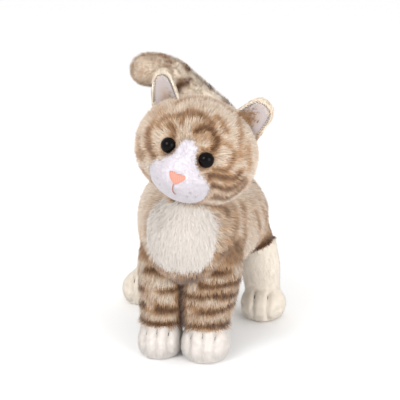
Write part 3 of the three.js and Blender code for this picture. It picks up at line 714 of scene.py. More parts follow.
def clumped(roots, tips, pull):
    """Draws the tips of strands that grow close together towards each other."""
    cell = np.floor(roots / CLUMP_MM).astype(int)
    key = (cell * np.array([73856093, 19349663, 83492791])).sum(axis=1)
    _, group = np.unique(key, return_inverse=True)
    sums = np.stack([np.bincount(group, tips[:, i]) for i in range(3)], axis=1)
    centre = sums / np.bincount(group)[:, None]
    return tips + (centre[group] - tips) * pull


def grow(name, skin, count, length, flow, tone, weight=None, lift=0.75, width=0.5, seed=1, curl=0.25,
         pull=0.35, lined=False, spread=0.45):
    """A pile of tapered three-row strands on a skin. length is a function of the roots, and weight is one
    number a point of the skin. lift is the angle at which strands leave it, and flow says which way they
    are brushed."""
    draw = np.random.default_rng(seed)
    mesh = skin.data
    mesh.calc_loop_triangles()
    corners = np.empty(len(mesh.loop_triangles) * 3, np.int32)
    mesh.loop_triangles.foreach_get("vertices", corners)
    corners = corners.reshape(-1, 3)
    points = points_of(mesh)
    normals = normals_of(mesh)
    a, b, c = (points[corners[:, i]] for i in range(3))
    area = np.linalg.norm(np.cross(b - a, c - a), axis=1) / 2
    chance = area if weight is None else area * weight[corners].mean(axis=1)
    picked = draw.choice(len(corners), size=count, p=chance / chance.sum())
    u, v = draw.random(count), draw.random(count)
    over = u + v > 1
    u[over], v[over] = 1 - u[over], 1 - v[over]
    shares = np.stack([1 - u - v, u, v], axis=1)[..., None]
    root = (points[corners[picked]] * shares).sum(axis=1)
    normal = unit((normals[corners[picked]] * shares).sum(axis=1))
    way = flow(root, normal)
    way = unit(way - (way * normal).sum(axis=1, keepdims=True) * normal)
    across = np.cross(way, normal)
    way = unit(way + across * draw.normal(0, 0.22, count)[:, None])
    size = length(root) * draw.uniform(0.75, 1.15, count)
    rise = np.clip(lift + draw.normal(0, LIFT_SPREAD, count), 0.15, 1.45)[:, None]
    first = unit(normal * np.sin(rise) + way * np.cos(rise))
    last = unit(first + way * curl + across * draw.normal(0, 0.16, count)[:, None])
    knee = root + first * (size * 0.5)[:, None]
    tip = clumped(root, knee + last * (size * 0.5)[:, None], pull)
    twist = draw.uniform(-0.6, 0.6, count)[:, None]
    side = unit(across * np.cos(twist) + normal * np.sin(twist))
    half = (width * draw.uniform(0.7, 1.2, count) / 2)[:, None]
    rows = [root - side * half, root + side * half, knee - side * half * 0.8, knee + side * half * 0.8, tip]
    rows = np.stack(rows, axis=1)
    facing = unit(np.cross(side, first))
    flipped = (facing * normal).sum(axis=1) < 0
    rows[flipped] = rows[flipped][:, [1, 0, 3, 2, 4]]
    facing[flipped] *= -1
    bent = first - normal * (first * normal).sum(axis=1, keepdims=True)
    soft = unit(normal + 0.45 * bent + across * draw.normal(0, spread, count)[:, None])
    tones = np.clip(tone((root + tip) / 2) + draw.normal(0, TONE_SPREAD, count), 0, 1)
    grains = draw.random(count)
    if lined:
        rows = np.concatenate([rows, rows[:, [1, 0, 3, 2, 4]] - facing[:, None, :] * LINING_MM])
        soft = np.concatenate([soft, unit(soft - 2 * (soft * facing).sum(axis=1, keepdims=True) * facing)])
        tones, grains, root = (np.concatenate([each, each]) for each in (tones, grains, root))
        count *= 2
    base = np.arange(count)[:, None] * 5
    loops = np.concatenate([base + np.array([0, 1, 3, 2]), base + np.array([2, 3, 4])], axis=1).ravel()
    strands = bpy.data.meshes.new(name)
    strands.vertices.add(count * 5)
    strands.loops.add(count * 7)
    strands.polygons.add(count * 2)
    strands.vertices.foreach_set("co", (rows.reshape(-1, 3) * MM).astype(np.float32).ravel())
    strands.loops.foreach_set("vertex_index", loops.astype(np.int32))
    starts = (np.arange(count)[:, None] * 7 + np.array([0, 4])).ravel()
    strands.polygons.foreach_set("loop_start", starts.astype(np.int32))
    strands.polygons.foreach_set("loop_total", np.tile([4, 3], count).astype(np.int32))
    strands.update(calc_edges=True)
    strands.polygons.foreach_set("use_smooth", np.ones(count * 2, bool))
    strands.normals_split_custom_set_from_vertices(np.repeat(soft, 5, axis=0).astype(np.float32))
    set_numbers(strands, "tone", np.repeat(tones, 5))
    set_numbers(strands, "grain", np.repeat(grains, 5))
    set_numbers(strands, "tip", np.tile([0, 0, 0.5, 0.5, 1], count))
    bake_cells(strands, count, root)
    piece = bpy.data.objects.new(name, strands)
    bpy.context.scene.collection.objects.link(piece)
    return piece


def constant(value):
    return lambda points: np.full(len(points), float(value))


# Directions in which the pile is brushed.
def body_flow(points, normals):
    return np.tile(np.array([0.0, 0.55, -0.85]), (len(points), 1))


def down_flow(points, normals):
    return np.tile(np.array([0.0, -0.15, -1.0]), (len(points), 1))


def head_flow(points, normals):
    """Away from the bridge of the nose: up over the forehead, out and down over the cheeks."""
    local = in_head(points)
    fan = np.stack([local[:, 0], local[:, 1] * 0.4 + 26, local[:, 2] - 4], axis=1)
    fan[:, 2] -= 10 * smoothstep(10, -20, local[:, 2])
    return fan[:, :1] * HEAD_SIDE - fan[:, 1:2] * HEAD_FORWARD + fan[:, 2:] * HEAD_UP


EYE_CLEARING = 7
SHORTEST_PILE = 2.6
PILE_GAIN = 5.0


def head_length(points):
    """Shorter pile round the eyes and beside the muzzle, so that neither is covered."""
    near = np.full(len(points), 99.0)
    for side in ("left", "right"):
        near = np.minimum(near, np.linalg.norm(points - eye_apex(side)[0], axis=1))
    beside = nearness(points, "muzzle_patch")
    clear = smoothstep(EYE_CLEARING, EYE_CLEARING + 8, near)
    return SHORTEST_PILE + PILE_GAIN * clear * (0.35 + 0.65 * smoothstep(3, 10, beside))


def fur(name, skin, body, slot, material, count, length, flow, tone, **more):
    pile = grow(name, skin, count, length, flow, tone, **more)
    pile.data.materials.append(material)
    if body:
        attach(pile, body)
    return pile


# ---- Meshes made from grids and tubes ----
def mesh_piece(name, points_mm, faces, *materials):
    mesh = bpy.data.meshes.new(name)
    mesh.from_pydata((np.asarray(points_mm) * MM).tolist(), [], faces)
    mesh.polygons.foreach_set("use_smooth", np.ones(len(mesh.polygons), bool))
    for material in materials:
        mesh.materials.append(material)
    piece = bpy.data.objects.new(name, mesh)
    bpy.context.scene.collection.objects.link(piece)
    return piece


def ring_faces(first, second, around):
    """The faces between two rings of points, given the first point of each."""
    steps = [(k, (k + 1) % around) for k in range(around)]
    return [(first + k, first + nxt, second + nxt, second + k) for k, nxt in steps]


def tube_mesh(path, radius, around=8):
    """The points and faces of a closed tube along a path, with one radius a point of it."""
    path = np.asarray(path, float)
    radius = np.broadcast_to(np.asarray(radius, float), (len(path),))
    ahead = unit(np.gradient(path, axis=0))
    side = unit(np.cross(ahead, [0.31, 0.93, 0.2]))
    over = np.cross(ahead, side)
    angle = np.linspace(0, 2 * math.pi, around, endpoint=False)
    ring = side[:, None] * np.cos(angle)[:, None] + over[:, None] * np.sin(angle)[:, None]
    points = (path[:, None] + radius[:, None, None] * ring).reshape(-1, 3)
    faces = []
    for row in range(len(path) - 1):
        faces += ring_faces(row * around, (row + 1) * around, around)
    last = (len(path) - 1) * around
    faces.append(tuple(range(around))[::-1])
    faces.append(tuple(last + k for k in range(around)))
    return points, faces


def curve_through(stations, spacing):
    """Even points along a smooth curve through the stations."""
    stations = np.asarray(stations, float)
    padded = np.vstack([2 * stations[0] - stations[1], stations, 2 * stations[-1] - stations[-2]])
    fine = []
    for i in range(len(stations) - 1):
        p0, p1, p2, p3 = padded[i:i + 4]
        t = np.linspace(0, 1, 40, endpoint=False)[:, None]
        fine.append(0.5 * (2 * p1 + (p2 - p0) * t + (2 * p0 - 5 * p1 + 4 * p2 - p3) * t ** 2
                           + (3 * p1 - p0 - 3 * p2 + p3) * t ** 3))
    fine = np.vstack([*fine, stations[-1:]])
    travelled = np.concatenate([[0], np.cumsum(np.linalg.norm(np.diff(fine, axis=0), axis=1))])
    even = np.linspace(0, travelled[-1], max(2, round(travelled[-1] / spacing) + 1))
    return np.stack([np.interp(even, travelled, fine[:, i]) for i in range(3)], axis=1)


# ---- Tail ----
TAIL_STATIONS = np.array([
    pivot("tail_wag") - [0, 12, 8],
    pivot("tail_wag"),
    pivot("tail_wag") + [9, 12, 17.5],
    pivot("tail_wag") + [12, 16, 37.5],
    pivot("tail_curl"),
    pivot("tail_curl") + [-15.5, -5, 16],
    pivot("tail_tip_curl"),
    pivot("tail_tip_curl") + [-14, -11, 14],
    pivot("tail_tip_curl") + [-30, -24, 19],
    pivot("tail_tip_curl") + [-41, -32, 15],
])
TAIL_SPACING = 2.5
TAIL_LINE = curve_through(TAIL_STATIONS, TAIL_SPACING)
TAIL_RADIUS = 12.8
TAIL_TIP_RADIUS = 13
# A distance on each side of a joint. A reach is made from it, but nothing uses it.
TAIL_BLEND = 9
TAIL_PIECES = (
    ("tail_base", "torso", "tail_root", "tail_wag", 0.0, 0.27),
    ("tail_bend", "tail_root", "tail_middle", "tail_curl", 0.27, 0.66),
    ("tail_end", "tail_middle", "tail_tip", "tail_tip_curl", 0.66, 1.0),
)


def nearest_on_tail(points):
    gap = np.linalg.norm(points[:, None] - TAIL_LINE[None], axis=2)
    return gap.argmin(axis=1)


def tail_distance(points):
    """How far along the tail each point lies, in millimetres from its base."""
    return nearest_on_tail(points) * TAIL_SPACING


def tail_flow(points, normals):
    return unit(np.gradient(TAIL_LINE, axis=0))[nearest_on_tail(points)]


def tail_piece(name, body_a, body_b, joint, start, end, seed):
    """One length of the tail: its skin and its pile."""
    rows = len(TAIL_LINE) - 1
    first, last = max(round(start * rows) - 1, 0), min(round(end * rows) + 1, rows)
    path = TAIL_LINE[first:last + 1]
    share = np.linspace(start, end, len(path))
    radius = TAIL_RADIUS + (TAIL_TIP_RADIUS - TAIL_RADIUS) * share
    if end == 1.0:
        left = (len(path) - 1 - np.arange(len(path))) * TAIL_SPACING
        inside = np.clip(1 - (left + 0.3) / TAIL_TIP_RADIUS, 0, 1)
        radius = radius * np.sqrt(1 - inside ** 2)
    points, faces = tube_mesh(path, radius, around=32)
    skin = mesh_piece(f"{name}_skin", points, faces, TAIL_BACKING)
    points = points_of(skin.data)
    set_numbers(skin.data, "tone", tail_tone(points))
    part = body_b.split("_")[1]
    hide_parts(f"tail_{part}_sleeve", f"tail_{part}_stuffing")
    on_side = np.linalg.norm(points - TAIL_LINE[nearest_on_tail(points)], axis=1) > TAIL_SPACING
    weight = on_side.astype(float) + 0.02
    pile = fur(f"{name}_fur", skin, None, "tail_fur", TAIL_PILE, TAIL_STRANDS, constant(4.2), tail_flow,
               tail_tone, weight=weight, seed=seed, lift=1.15, lined=True)
    hinge = pivot(joint)
    reach = unit(TAIL_LINE[nearest_on_tail(hinge[None])[0] + 1] - hinge) * TAIL_BLEND
    for piece in (skin, pile):
        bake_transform(piece)


# ---- Eyes, nose, mouth and toes ----
def eye_apex(side):
    """The foremost point of an eye, and the way it looks."""
    points = points_of(NODES[f"{side}_eye"].data)
    depth = np.linalg.norm(points - HEAD_MIDDLE, axis=1)
    shank_end = points[depth < depth.min() + 2].mean(axis=0)
    apex = points[np.linalg.norm(points - shank_end, axis=1).argmax()]
    return apex, unit(apex - shank_end)


EYE_RADIUS = 6.0
EYE_HEIGHT = 5.1
EYE_SIDES = 40


def eye_piece(side):
    """A domed lens with a short skirt that runs into the pile."""
    apex, gaze = eye_apex(side)
    across = unit(np.cross(gaze, [0, 0, 1]))
    over = np.cross(across, gaze)
    rises = np.linspace(0, math.pi / 2, 15)[:-1]
    profile = [(EYE_RADIUS * math.cos(a), EYE_HEIGHT * math.sin(a)) for a in rises]
    profile = [(0.001, -3.0), (EYE_RADIUS * 0.9, -2.6), (EYE_RADIUS * 0.97, -1.4), *profile]
    angle = np.linspace(0, 2 * math.pi, EYE_SIDES, endpoint=False)
    points = [apex - gaze * EYE_HEIGHT + gaze * h + r * (across * math.cos(a) + over * math.sin(a))
              for r, h in profile for a in angle]
    points.append(apex)
    faces = []
    for row in range(len(profile) - 1):
        faces += ring_faces(row * EYE_SIDES, (row + 1) * EYE_SIDES, EYE_SIDES)
    top = (len(profile) - 1) * EYE_SIDES
    faces += [(top + k, top + (k + 1) % EYE_SIDES, len(points) - 1) for k in range(EYE_SIDES)]
    eye = mesh_piece(f"{side}_eye_lens", points, faces, EYE_BLACK)
    # The rim attribute places a painted reflection of the warm pile round the eye's base.
    heights = (points_of(eye.data) - (apex - gaze * EYE_HEIGHT)) @ gaze
    set_numbers(eye.data, "rim", smoothstep(1.6, -0.4, heights))
    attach(eye, "head")
    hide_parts(f"{side}_eye")


# Half of the nose's outline, across and up, from the middle of its top to its foot.
NOSE_HALF = ((0, 3.3), (3.4, 4.0), (5.9, 3.6), (6.7, 2.0), (5.6, -0.6), (3.2, -3.2), (1.2, -4.9), (0, -5.2))
NOSE_OUTLINE = (*NOSE_HALF, *((-x, z) for x, z in NOSE_HALF[-2:0:-1]))
NOSE_DOME = 2.4
STITCH_PITCH = 0.75
STITCH_RELIEF = 0.13


def nose_piece(surface):
    """A padded, satin-stitched triangle: ridges of thread side by side over a low dome."""
    outline = curve_through([(x, 0, z) for x, z in (*NOSE_OUTLINE, NOSE_OUTLINE[0])], 0.35)[:-1]
    rings = np.linspace(0, 1, 15)[1:]
    place_at = in_head(middle("nose")[None])[0]
    local = [(0, 0, -0.4)] + [(x * t, 0, (z + 0.4) * t - 0.4) for t in rings for x, _, z in outline]
    local = np.array(local)
    share = np.concatenate([[0], np.repeat(rings, len(outline))])
    dome = NOSE_DOME * np.sqrt(np.clip(1 - share ** 2.6, 0, 1))
    relief = STITCH_RELIEF * np.abs(np.sin(local[:, 0] * math.pi / STITCH_PITCH)) * (share < 0.99)
    front = from_head(local + [place_at[0], 0, place_at[2]])
    base = np.array([surface(point) for point in front])
    points = base + HEAD_FORWARD * (dome + relief - 0.2)[:, None]
    around = len(outline)
    steps = [(k, (k + 1) % around) for k in range(around)]
    faces = [(0, 1 + k, 1 + nxt) for k, nxt in steps]
    for ring in range(len(rings) - 1):
        inner, outer = 1 + ring * around, 1 + (ring + 1) * around
        faces += [(inner + k, outer + k, outer + nxt, inner + nxt) for k, nxt in steps]
    edge = 1 + (len(rings) - 1) * around
    back = points[edge:] - HEAD_FORWARD * 1.6
    points = np.vstack([points, back])
    behind = edge + around
    faces += [(edge + k, behind + k, behind + nxt, edge + nxt) for k, nxt in steps]
    faces.append(tuple(behind + k for k in range(around)))
    nose = mesh_piece("nose_stitching", points, faces, NOSE_THREAD)
    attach(nose, "head")
    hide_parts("nose")


def head_surface(skin):
    """The point of the head's skin that lies straight behind or in front of a given one."""
    tree = BVHTree.FromObject(skin, bpy.context.evaluated_depsgraph_get())
    back = Vector(-HEAD_FORWARD)

    def surface(point):
        start = Vector((point + HEAD_FORWARD * 90) * MM)
        hit = tree.ray_cast(start, back)[0]
        return np.array(hit) / MM if hit else point
    return surface


MOUTH_LINE = ((0, -16), (0.15, -18), (0.2, -20.5), (0.5, -22.8), (1.5, -24.6), (2.9, -25.4))
MOUTH_PROUD = 0.9
MOUTH_THREAD_RADIUS = 0.42


def mouth_piece(surface):
    line = curve_through([(x, 0, z) for x, z in MOUTH_LINE], 0.4)
    path = np.array([surface(point) for point in from_head(line)]) + HEAD_FORWARD * MOUTH_PROUD
    twist = MOUTH_THREAD_RADIUS * (1 + 0.18 * np.sin(np.arange(len(path)) * 1.9))
    mouth = mesh_piece("mouth_thread", *tube_mesh(path, twist), MOUTH_BROWN)
    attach(mouth, "head")
    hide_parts("mouth_stitch")


TOE_THREAD_RADIUS = 0.36
TOE_ANGLES = (62, -8)


def toe_piece(leg, skin):
    """The threads drawn through the paw between its toes, dark where they are knotted at the top."""
    tree = BVHTree.FromObject(skin, bpy.context.evaluated_depsgraph_get())
    low, high = box_mm(f"{leg}_toe_stitches")
    centre_y = high[1] - 2
    centre_z = (low[2] + high[2]) / 2
    points, faces, dark = [], [], []
    for toe in toe_places(leg):
        path = []
        for angle in np.radians(np.linspace(*TOE_ANGLES, 26)):
            out = np.array([0, -math.cos(angle), math.sin(angle)])
            start = Vector((np.array([toe, centre_y, centre_z]) + out * 60) * MM)
            hit = tree.ray_cast(start, Vector(-out))[0]
            if hit:
                path.append(np.array(hit) / MM + out * 0.12)
        more, more_faces = tube_mesh(path, TOE_THREAD_RADIUS, around=6)
        faces += [tuple(i + len(points) for i in face) for face in more_faces]
        points += list(more)
        share = np.repeat(np.linspace(0, 1, len(path)), 6)
        dark += list(smoothstep(0.05, 0.1, share) * smoothstep(0.34, 0.28, share))
    thread = mesh_piece(f"{leg}_toe_threads", points, faces, TOE_THREAD)
    set_numbers(thread.data, "tone", dark)
    blend_leg(thread)
    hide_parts(f"{leg}_toe_stitches")


# ---- Ears ----
EAR_SIZES = {"left": (29, 30), "right": (33, 39)}
EAR_SHIFTS = {"left": -2.0, "right": 6.5}
EAR_TAPER = {"left": 0.34, "right": 0.5}
EAR_CUP = 0.024
EAR_ROWS = 26
STITCH_STEP = 2.3
STITCH_RADIUS = 0.36
TUFT_STRANDS = {"left": 1500, "right": 500}


def ear_frame(side):
    """An ear's base, and its own across, forward and up directions."""
    across = unit(np.array(JOINTS[f"{side}_ear_fold"]["axis"]))
    across = across * np.sign(across[0])
    base = pivot(f"{side}_ear_fold") + EAR_SHIFTS[side] * across
    up = middle(f"{side}_ear_back") - base
    up = unit(up - (up @ across) * across)
    forward = np.cross(across, -up)
    return base, across, forward if forward[1] < 0 else -forward, up


def ear_sheet(side, width_share, height_share, front, back, start=-0.12):
    """A closed cupped pad with a rounded tip, between two depths."""
    width, height = EAR_SIZES[side]
    base, across, forward, up = ear_frame(side)
    share = np.linspace(start, 1, EAR_ROWS)
    above = np.clip(share, 0, 1)
    rise = np.sin(above * math.pi / 2)
    rise = np.where(share < 0, share, rise) * height * height_share
    taper = np.sqrt(np.clip(1 - above ** 3.0, 0, 1)) * (1 - EAR_TAPER[side] * above)
    half = width * width_share / 2 * np.maximum(taper, 0.02)
    columns = np.linspace(-1, 1, EAR_ROWS)
    points = []
    for depth in (front, back):
        for row in range(EAR_ROWS):
            x = columns * half[row]
            thick = depth * np.sqrt(np.clip(1 - columns ** 2, 0, 1)) * (1 if share[row] < 0.97 else 0.2)
            cupped = thick + EAR_CUP * x * x
            points += list(base + x[:, None] * across + cupped[:, None] * forward + rise[row] * up)
    faces = []
    size = EAR_ROWS * EAR_ROWS
    for row in range(EAR_ROWS - 1):
        for k in range(EAR_ROWS - 1):
            a = row * EAR_ROWS + k
            quad = (a, a + 1, a + EAR_ROWS + 1, a + EAR_ROWS)
            faces.append(quad)
            faces.append(tuple(size + i for i in quad[::-1]))
    rim = list(range(EAR_ROWS))
    rim += [row * EAR_ROWS + EAR_ROWS - 1 for row in range(1, EAR_ROWS)]
    rim += [(EAR_ROWS - 1) * EAR_ROWS + k for k in range(EAR_ROWS - 2, -1, -1)]
    rim += [row * EAR_ROWS for row in range(EAR_ROWS - 2, 0, -1)]
    for here, there in zip(rim, rim[1:] + rim[:1]):
        faces.append((here, size + here, size + there, there))
    return points, faces, rim


def fixed_normals(piece):
    shell = bmesh.new()
    shell.from_mesh(piece.data)
    bmesh.ops.remove_doubles(shell, verts=shell.verts, dist=0.02 * MM)
    bmesh.ops.recalc_face_normals(shell, faces=shell.faces)
    shell.to_mesh(piece.data)
    shell.free()


def ear_local(side, points):
    base, across, _, up = ear_frame(side)
    offset = points - base
    return offset @ across, offset @ up


def ear_pieces(side, seed):
    body = f"{side}_ear"
    width, height = EAR_SIZES[side]
    pad = mesh_piece(f"{side}_ear_plush", *ear_sheet(side, 1.0, 1.0, 0.9, -3.4)[:2], EAR_BACKING)
    fixed_normals(pad)
    across, up = ear_local(side, points_of(pad.data))
    set_numbers(pad.data, "tone", 0.25 * smoothstep(0.6, 0.0, up / height))
    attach(pad, body)
    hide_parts(f"{side}_ear_back")
    forward = ear_frame(side)[2]
    facing = normals_of(pad.data) @ forward
    edge = np.clip(np.abs(across) / (width / 2), 0, 1)
    bare = smoothstep(0.2, 0.6, facing) * (edge < 0.72) * (up < height * 0.8)

    def ear_flow(points, normals):
        return np.tile(ear_frame(side)[3], (len(points), 1)) + 0.5 * normals

    def ear_tone(points):
        low = smoothstep(0.5, 0.05, ear_local(side, points)[1] / height)
        return np.clip(0.05 + 0.35 * low + 0.05 * wobble(points, 6, 71), 0, 1)

    fur(f"{side}_ear_fur", pad, body, "cream_plush", TAIL_PILE, 5200, constant(2.6), ear_flow, ear_tone,
        weight=1.0 - bare, seed=seed, width=0.4, lift=0.6, lined=True)
    points, faces, rim = ear_sheet(side, 0.87, 0.93, 2.0, 0.6, start=0.0)
    satin = mesh_piece(f"{side}_ear_satin", points, faces, EAR_SATIN)
    outline = np.array(points)[rim]
    fixed_normals(satin)
    across, up = ear_local(side, points_of(satin.data))
    # Painted shade: the satin is browned towards the middle of the cupped ear, where its hollow lies in shade.
    hollow_shade = np.exp(-((across + 0.5) / (width * 0.17)) ** 2 - ((up - height * 0.3) / (height * 0.3)) ** 2)
    set_numbers(satin.data, "tone", hollow_shade)
    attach(satin, body)
    threads, thread_faces = ear_stitches(outline, forward)
    stitches = mesh_piece(f"{side}_ear_edge_stitches", threads, thread_faces, TOE_THREAD)
    set_numbers(stitches.data, "tone", np.full(len(threads), 0.8))
    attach(stitches, body)
    across, up = ear_local(side, points_of(satin.data))
    inner = -1 if side == "left" else 1
    near_base = np.exp(-((across - inner * width * 0.22) / (width * 0.2)) ** 2 - (up / (height * 0.3)) ** 2)
    facing = normals_of(satin.data) @ forward > 0.3
    fur(f"{side}_ear_tuft", satin, body, "tabby_fur", TAN_PILE, TUFT_STRANDS[side], constant(4.5), ear_flow,
        constant(0.6), weight=near_base * facing + 1e-6, seed=seed + 5, width=0.45, lift=0.7)
    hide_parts(f"{side}_ear_lining")


def ear_stitches(outline, forward):
    """Short oversewn stitches round the edge of the satin, left out along the ear's base."""
    even = curve_through(outline[EAR_ROWS // 2 + 12:-6], STITCH_STEP)
    centre = outline.mean(axis=0)
    points, faces = [], []
    for here, there in zip(even[:-1], even[1:]):
        out = unit(here - centre)
        middle_point = (here + there) / 2
        path = np.array([here - out * 0.9, middle_point + forward * 1.3, there + out * 0.6]) + forward * 0.8
        more, more_faces = tube_mesh(path, STITCH_RADIUS, around=5)
        faces += [tuple(i + len(points) for i in face) for face in more_faces]
        points += list(more)
    return np.array(points), faces


# ---- Camera, light and floor ----
VIEW_AZIMUTH = math.radians(10)
VIEW_ELEVATION = math.radians(15)
VIEW_DISTANCE = 1.0
VIEW_TARGET = Vector((0.00876, 0.00148, 0.1213))
LENS_MM = 105


def aim(thing, target):
    thing.rotation_euler = (target - thing.location).to_track_quat("-Z", "Y").to_euler()


def make_camera():
    camera = bpy.data.objects.new("camera", bpy.data.cameras.new("camera"))
    camera.data.lens = LENS_MM
    camera.data.sensor_width = 36
    away = Vector((
        math.sin(VIEW_AZIMUTH) * math.cos(VIEW_ELEVATION),
        -math.cos(VIEW_AZIMUTH) * math.cos(VIEW_ELEVATION),
        math.sin(VIEW_ELEVATION),
    ))
    camera.location = VIEW_TARGET + away * VIEW_DISTANCE
    aim(camera, VIEW_TARGET)
    bpy.context.scene.collection.objects.link(camera)
    bpy.context.scene.camera = camera


def make_light(name, place_at, size, power):
    lamp = bpy.data.objects.new(name, bpy.data.lights.new(name, "AREA"))
    lamp.data.shape = "DISK"
    lamp.data.size = size
    lamp.data.energy = power
    lamp.location = place_at
    aim(lamp, Vector((0, 0, 0.12)))
    bpy.context.scene.collection.objects.link(lamp)


def make_stage():
    scene = bpy.context.scene
    scene.view_settings.view_transform = "Standard"
    world = bpy.data.worlds.new("studio")
    world.use_nodes = True
    world.node_tree.nodes["Background"].inputs["Color"].default_value = (1, 1, 1, 1)
    world.node_tree.nodes["Background"].inputs["Strength"].default_value = 1.04
    scene.world = world
    make_light("key_light", (-0.45, -1.0, 0.8), 0.6, 7)
    make_light("fill_light", (0.9, -0.8, 0.4), 0.8, 6)
    bpy.ops.mesh.primitive_plane_add(size=12, location=(0, 0, 0))
    floor = bpy.context.object
    floor.name = "floor"
    paper, shader = new_material("floor_paper", 0.9)
    shader.inputs["Base Color"].default_value = (0.95, 0.95, 0.95, 1)
    floor.data.materials.append(paper)


make_camera()
make_stage()


# ---- Materials in use ----
def striped_thread(name, first, second, pitch_mm, roughness, tone=None):
    """Thread: fine light and dark lines of twist, over one colour or two chosen by the tone attribute."""
    material, shader = new_material(name, roughness, sheen=0.2)
    tree = material.node_tree
    wave = tree.nodes.new("ShaderNodeTexWave")
    wave.inputs["Scale"].default_value = 1 / (pitch_mm * MM) / 6.3
    wave.inputs["Distortion"].default_value = 1.2
    where = tree.nodes.new("ShaderNodeTexCoord")
    tree.links.new(where.outputs["Object"], wave.inputs["Vector"])
    base = ramp(tree, attribute(tree, "tone"), ((0.0, first), (1.0, second))) if tone else first
    light = ramp(tree, wave.outputs["Fac"], ((0.0, (0.8, 0.78, 0.78, 1)), (0.7, grey(1))))
    paint(tree, shader, base, light)
    bump(tree, shader, wave.outputs["Fac"], 0.4, 0.2)
    return material


def eye_material():
    """Polished black, with a painted reflection of the warm pile round its rim, where the eye meets the pile.
    """
    material, shader = new_material("eye_black", 0.06)
    tree = material.node_tree
    shader.inputs["Specular IOR Level"].default_value = 0.09
    # The warm browns towards the rim are a painted reflection, not the eye's own colour.
    shades = ((0.0, linear(8, 5, 5)), (0.6, linear(24, 11, 8)), (1.0, linear(64, 36, 25)))
    base = ramp(tree, attribute(tree, "rim"), shades)
    speck = ramp(tree, noise(tree, 500), ((0.35, grey(0.8)), (0.65, grey(1))))
    paint(tree, shader, base, speck)
    return material


def satin_material():
    """Smooth lavender-grey satin, browned in the middle by painted shade, with a fine weave."""
    material, shader = new_material("ear_satin", 0.42, sheen=0.5)
    tree = material.node_tree
    # Painted shade: the tone attribute turns the grey satin beige and then brown in the ear's hollow.
    base = ramp(tree, attribute(tree, "tone"), ((0.0, SATIN_GREY), (0.35, SATIN_BEIGE), (1.0, SATIN_SHADE_BROWN)))
    weave = noise(tree, 1400, 1.0)
    light = ramp(tree, weave, ((0.3, grey(0.86)), (0.7, grey(1))))
    paint(tree, shader, base, light)
    bump(tree, shader, weave, 0.25, 0.15)
    return material


def plastic_material():
    material, shader = new_material("washer_plastic", 0.5)
    tree = material.node_tree
    cloud = ramp(tree, noise(tree, 300), ((0.3, linear(222, 222, 216)), (0.7, linear(236, 236, 232))))
    tree.links.new(cloud, shader.inputs["Base Color"])
    return material


# The grey is the satin's own colour; the beige and the brown are painted shade for the ear's hollow.
SATIN_GREY = linear(180, 170, 170)
SATIN_BEIGE = linear(176, 158, 148)
SATIN_SHADE_BROWN = linear(152, 118, 94)
# A lavender grey for the whisker marks, also used for painted shade on the upper muzzle.
FRECKLE_AND_SHADE = linear(176, 166, 176)
TAN_PILE = strand_material("tan_pile", TAN_PALE, TAN_MID, TAN_DARK)
TAIL_PILE = strand_material("tail_pile", CREAM, TAN_MID, TAN_DARK, 0.88, 0.86)
BIB_PILE = strand_material("bib_pile", BIB_WHITE, BIB_WHITE, BIB_WHITE, 0.93, 0.9)
PAW_PILE = strand_material("paw_pile", PAW_WHITE, PAW_WHITE, PAW_WHITE, 0.95, 0.93)
IVORY_PILE = strand_material("ivory_pile", IVORY, IVORY, IVORY, 0.95, 0.93)
MUZZLE_PILE = strand_material("muzzle_pile", MUZZLE_WHITE, FRECKLE_AND_SHADE, FRECKLE_AND_SHADE, 0.97, 0.95)
TORSO_BACKING = backing_material("torso_backing", TAN_PALE, TAN_DARK, BIB_WHITE, "white")
HEAD_BACKING = backing_material("head_backing", TAN_PALE, TAN_DARK, MUZZLE_WHITE, "white", shade=0.95)
LEG_BACKING = backing_material("leg_backing", TAN_PALE, TAN_DARK, PAW_WHITE, "white", shade=0.95)
TAIL_BACKING = backing_material("tail_backing", CREAM, TAN_DARK)
IVORY_BACKING = backing_material("ivory_backing", TAN_MID, TAN_DARK, IVORY, "white", shade=0.96)
EAR_BACKING = backing_material("ear_backing", CREAM, TAN_MID, shade=0.9)
EYE_BLACK = eye_material()
EAR_SATIN = satin_material()
NOSE_THREAD = striped_thread("nose_thread", linear(212, 144, 126), None, STITCH_PITCH, 0.45)
MOUTH_BROWN = striped_thread("mouth_thread", linear(176, 112, 96), None, 0.9, 0.6)
TOE_THREAD = striped_thread("toe_thread", PAW_WHITE, linear(74, 54, 44), 0.9, 0.6, tone=True)
WASHER = plastic_material()
for side in ("left", "right"):
    washer = NODES[f"{side}_eye_washer"]
    washer.data.materials.clear()
    washer.data.materials.append(WASHER)

# ---- Build ----
FRECKLES = ((-15, -19), (-12, -24), (-17, -25), (13, -20), (17, -24), (11, -25))


def muzzle_tone(points):
    """Faint whisker marks, and painted shade over the upper muzzle."""
    local = in_head(points)
    # Painted shade: the upper muzzle and the bridge are darkened a little, where the key light falls on them
    # most.
    tone = 0.12 * smoothstep(-10, 6, local[:, 2])
    for x, z in FRECKLES:
        tone = np.maximum(tone, 0.3 * ridge(np.hypot(local[:, 0] - x, local[:, 2] - z), 1.1))
    return tone


TORSO_STRANDS = 64000
HEAD_STRANDS = 60000
LEG_STRANDS = 20000
FUZZ_STRANDS = 12000
TAIL_STRANDS = 8000

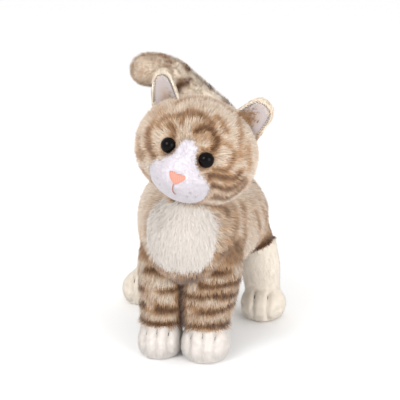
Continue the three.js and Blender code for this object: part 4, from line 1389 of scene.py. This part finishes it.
torso = torso_skin()
torso.data.materials.append(TORSO_BACKING)
head = head_skin()
head.data.materials.append(HEAD_BACKING)
on_bib = read(torso, "white")
fur("torso_fur", torso, "torso", "tabby_fur", TAN_PILE, TORSO_STRANDS, constant(7.5), body_flow, torso_tone,
    weight=1 - on_bib, seed=41)
fur("bib_fur", torso, "torso", "bib_fur", BIB_PILE, 14000, constant(8), down_flow, plain_tone,
    weight=on_bib, seed=42, lift=0.34, curl=0.1, pull=0.1, spread=0.25)
muzzle_share = read(head, "white")
fur("head_fur", head, "head", "tabby_fur", TAN_PILE, HEAD_STRANDS, head_length, head_flow, head_tone,
    weight=1 - muzzle_share, seed=43, lift=0.6)
fur("muzzle_fuzz", head, "head", "muzzle_plush", MUZZLE_PILE, FUZZ_STRANDS, constant(1.5), head_flow,
    muzzle_tone, weight=muzzle_share, seed=44, width=0.3, lift=0.9, pull=0, spread=0.12)
face_at = head_surface(head)
eye_piece("left")
eye_piece("right")
nose_piece(face_at)
mouth_piece(face_at)
ear_pieces("left", 71)
ear_pieces("right", 72)

for number, leg in enumerate(LEGS):
    skin = leg_skin(leg)
    furred = leg.startswith("front")
    skin.data.materials.append(LEG_BACKING if furred else IVORY_BACKING)
    bare = read(skin, "white")
    above_floor = (points_of(skin.data)[:, 2] > 2.5).astype(float)
    toe_piece(leg, skin)
    strands = LEG_STRANDS if furred else LEG_STRANDS // 2
    coat = fur(f"{leg}_leg_fur", skin, None, "tabby_fur", TAN_PILE, strands,
               constant(6.5 if furred else 4.5), down_flow, leg_tone(leg) if furred else torso_tone,
               weight=1 - bare, seed=50 + number, lift=0.75 if furred else 0.5)
    blend_leg(coat)
    pile = PAW_PILE if furred else IVORY_PILE
    fuzz = fur(f"{leg}_fuzz", skin, None, "paw_plush" if furred else "ivory_plush", pile, FUZZ_STRANDS,
               constant(1.6), down_flow, plain_tone, weight=bare * above_floor, seed=60 + number,
               width=0.35, lift=0.9, pull=0, spread=0.12)
    blend_leg(fuzz)
    blend_leg(skin)

for number, part in enumerate(TAIL_PIECES):
    tail_piece(*part, seed=80 + number)
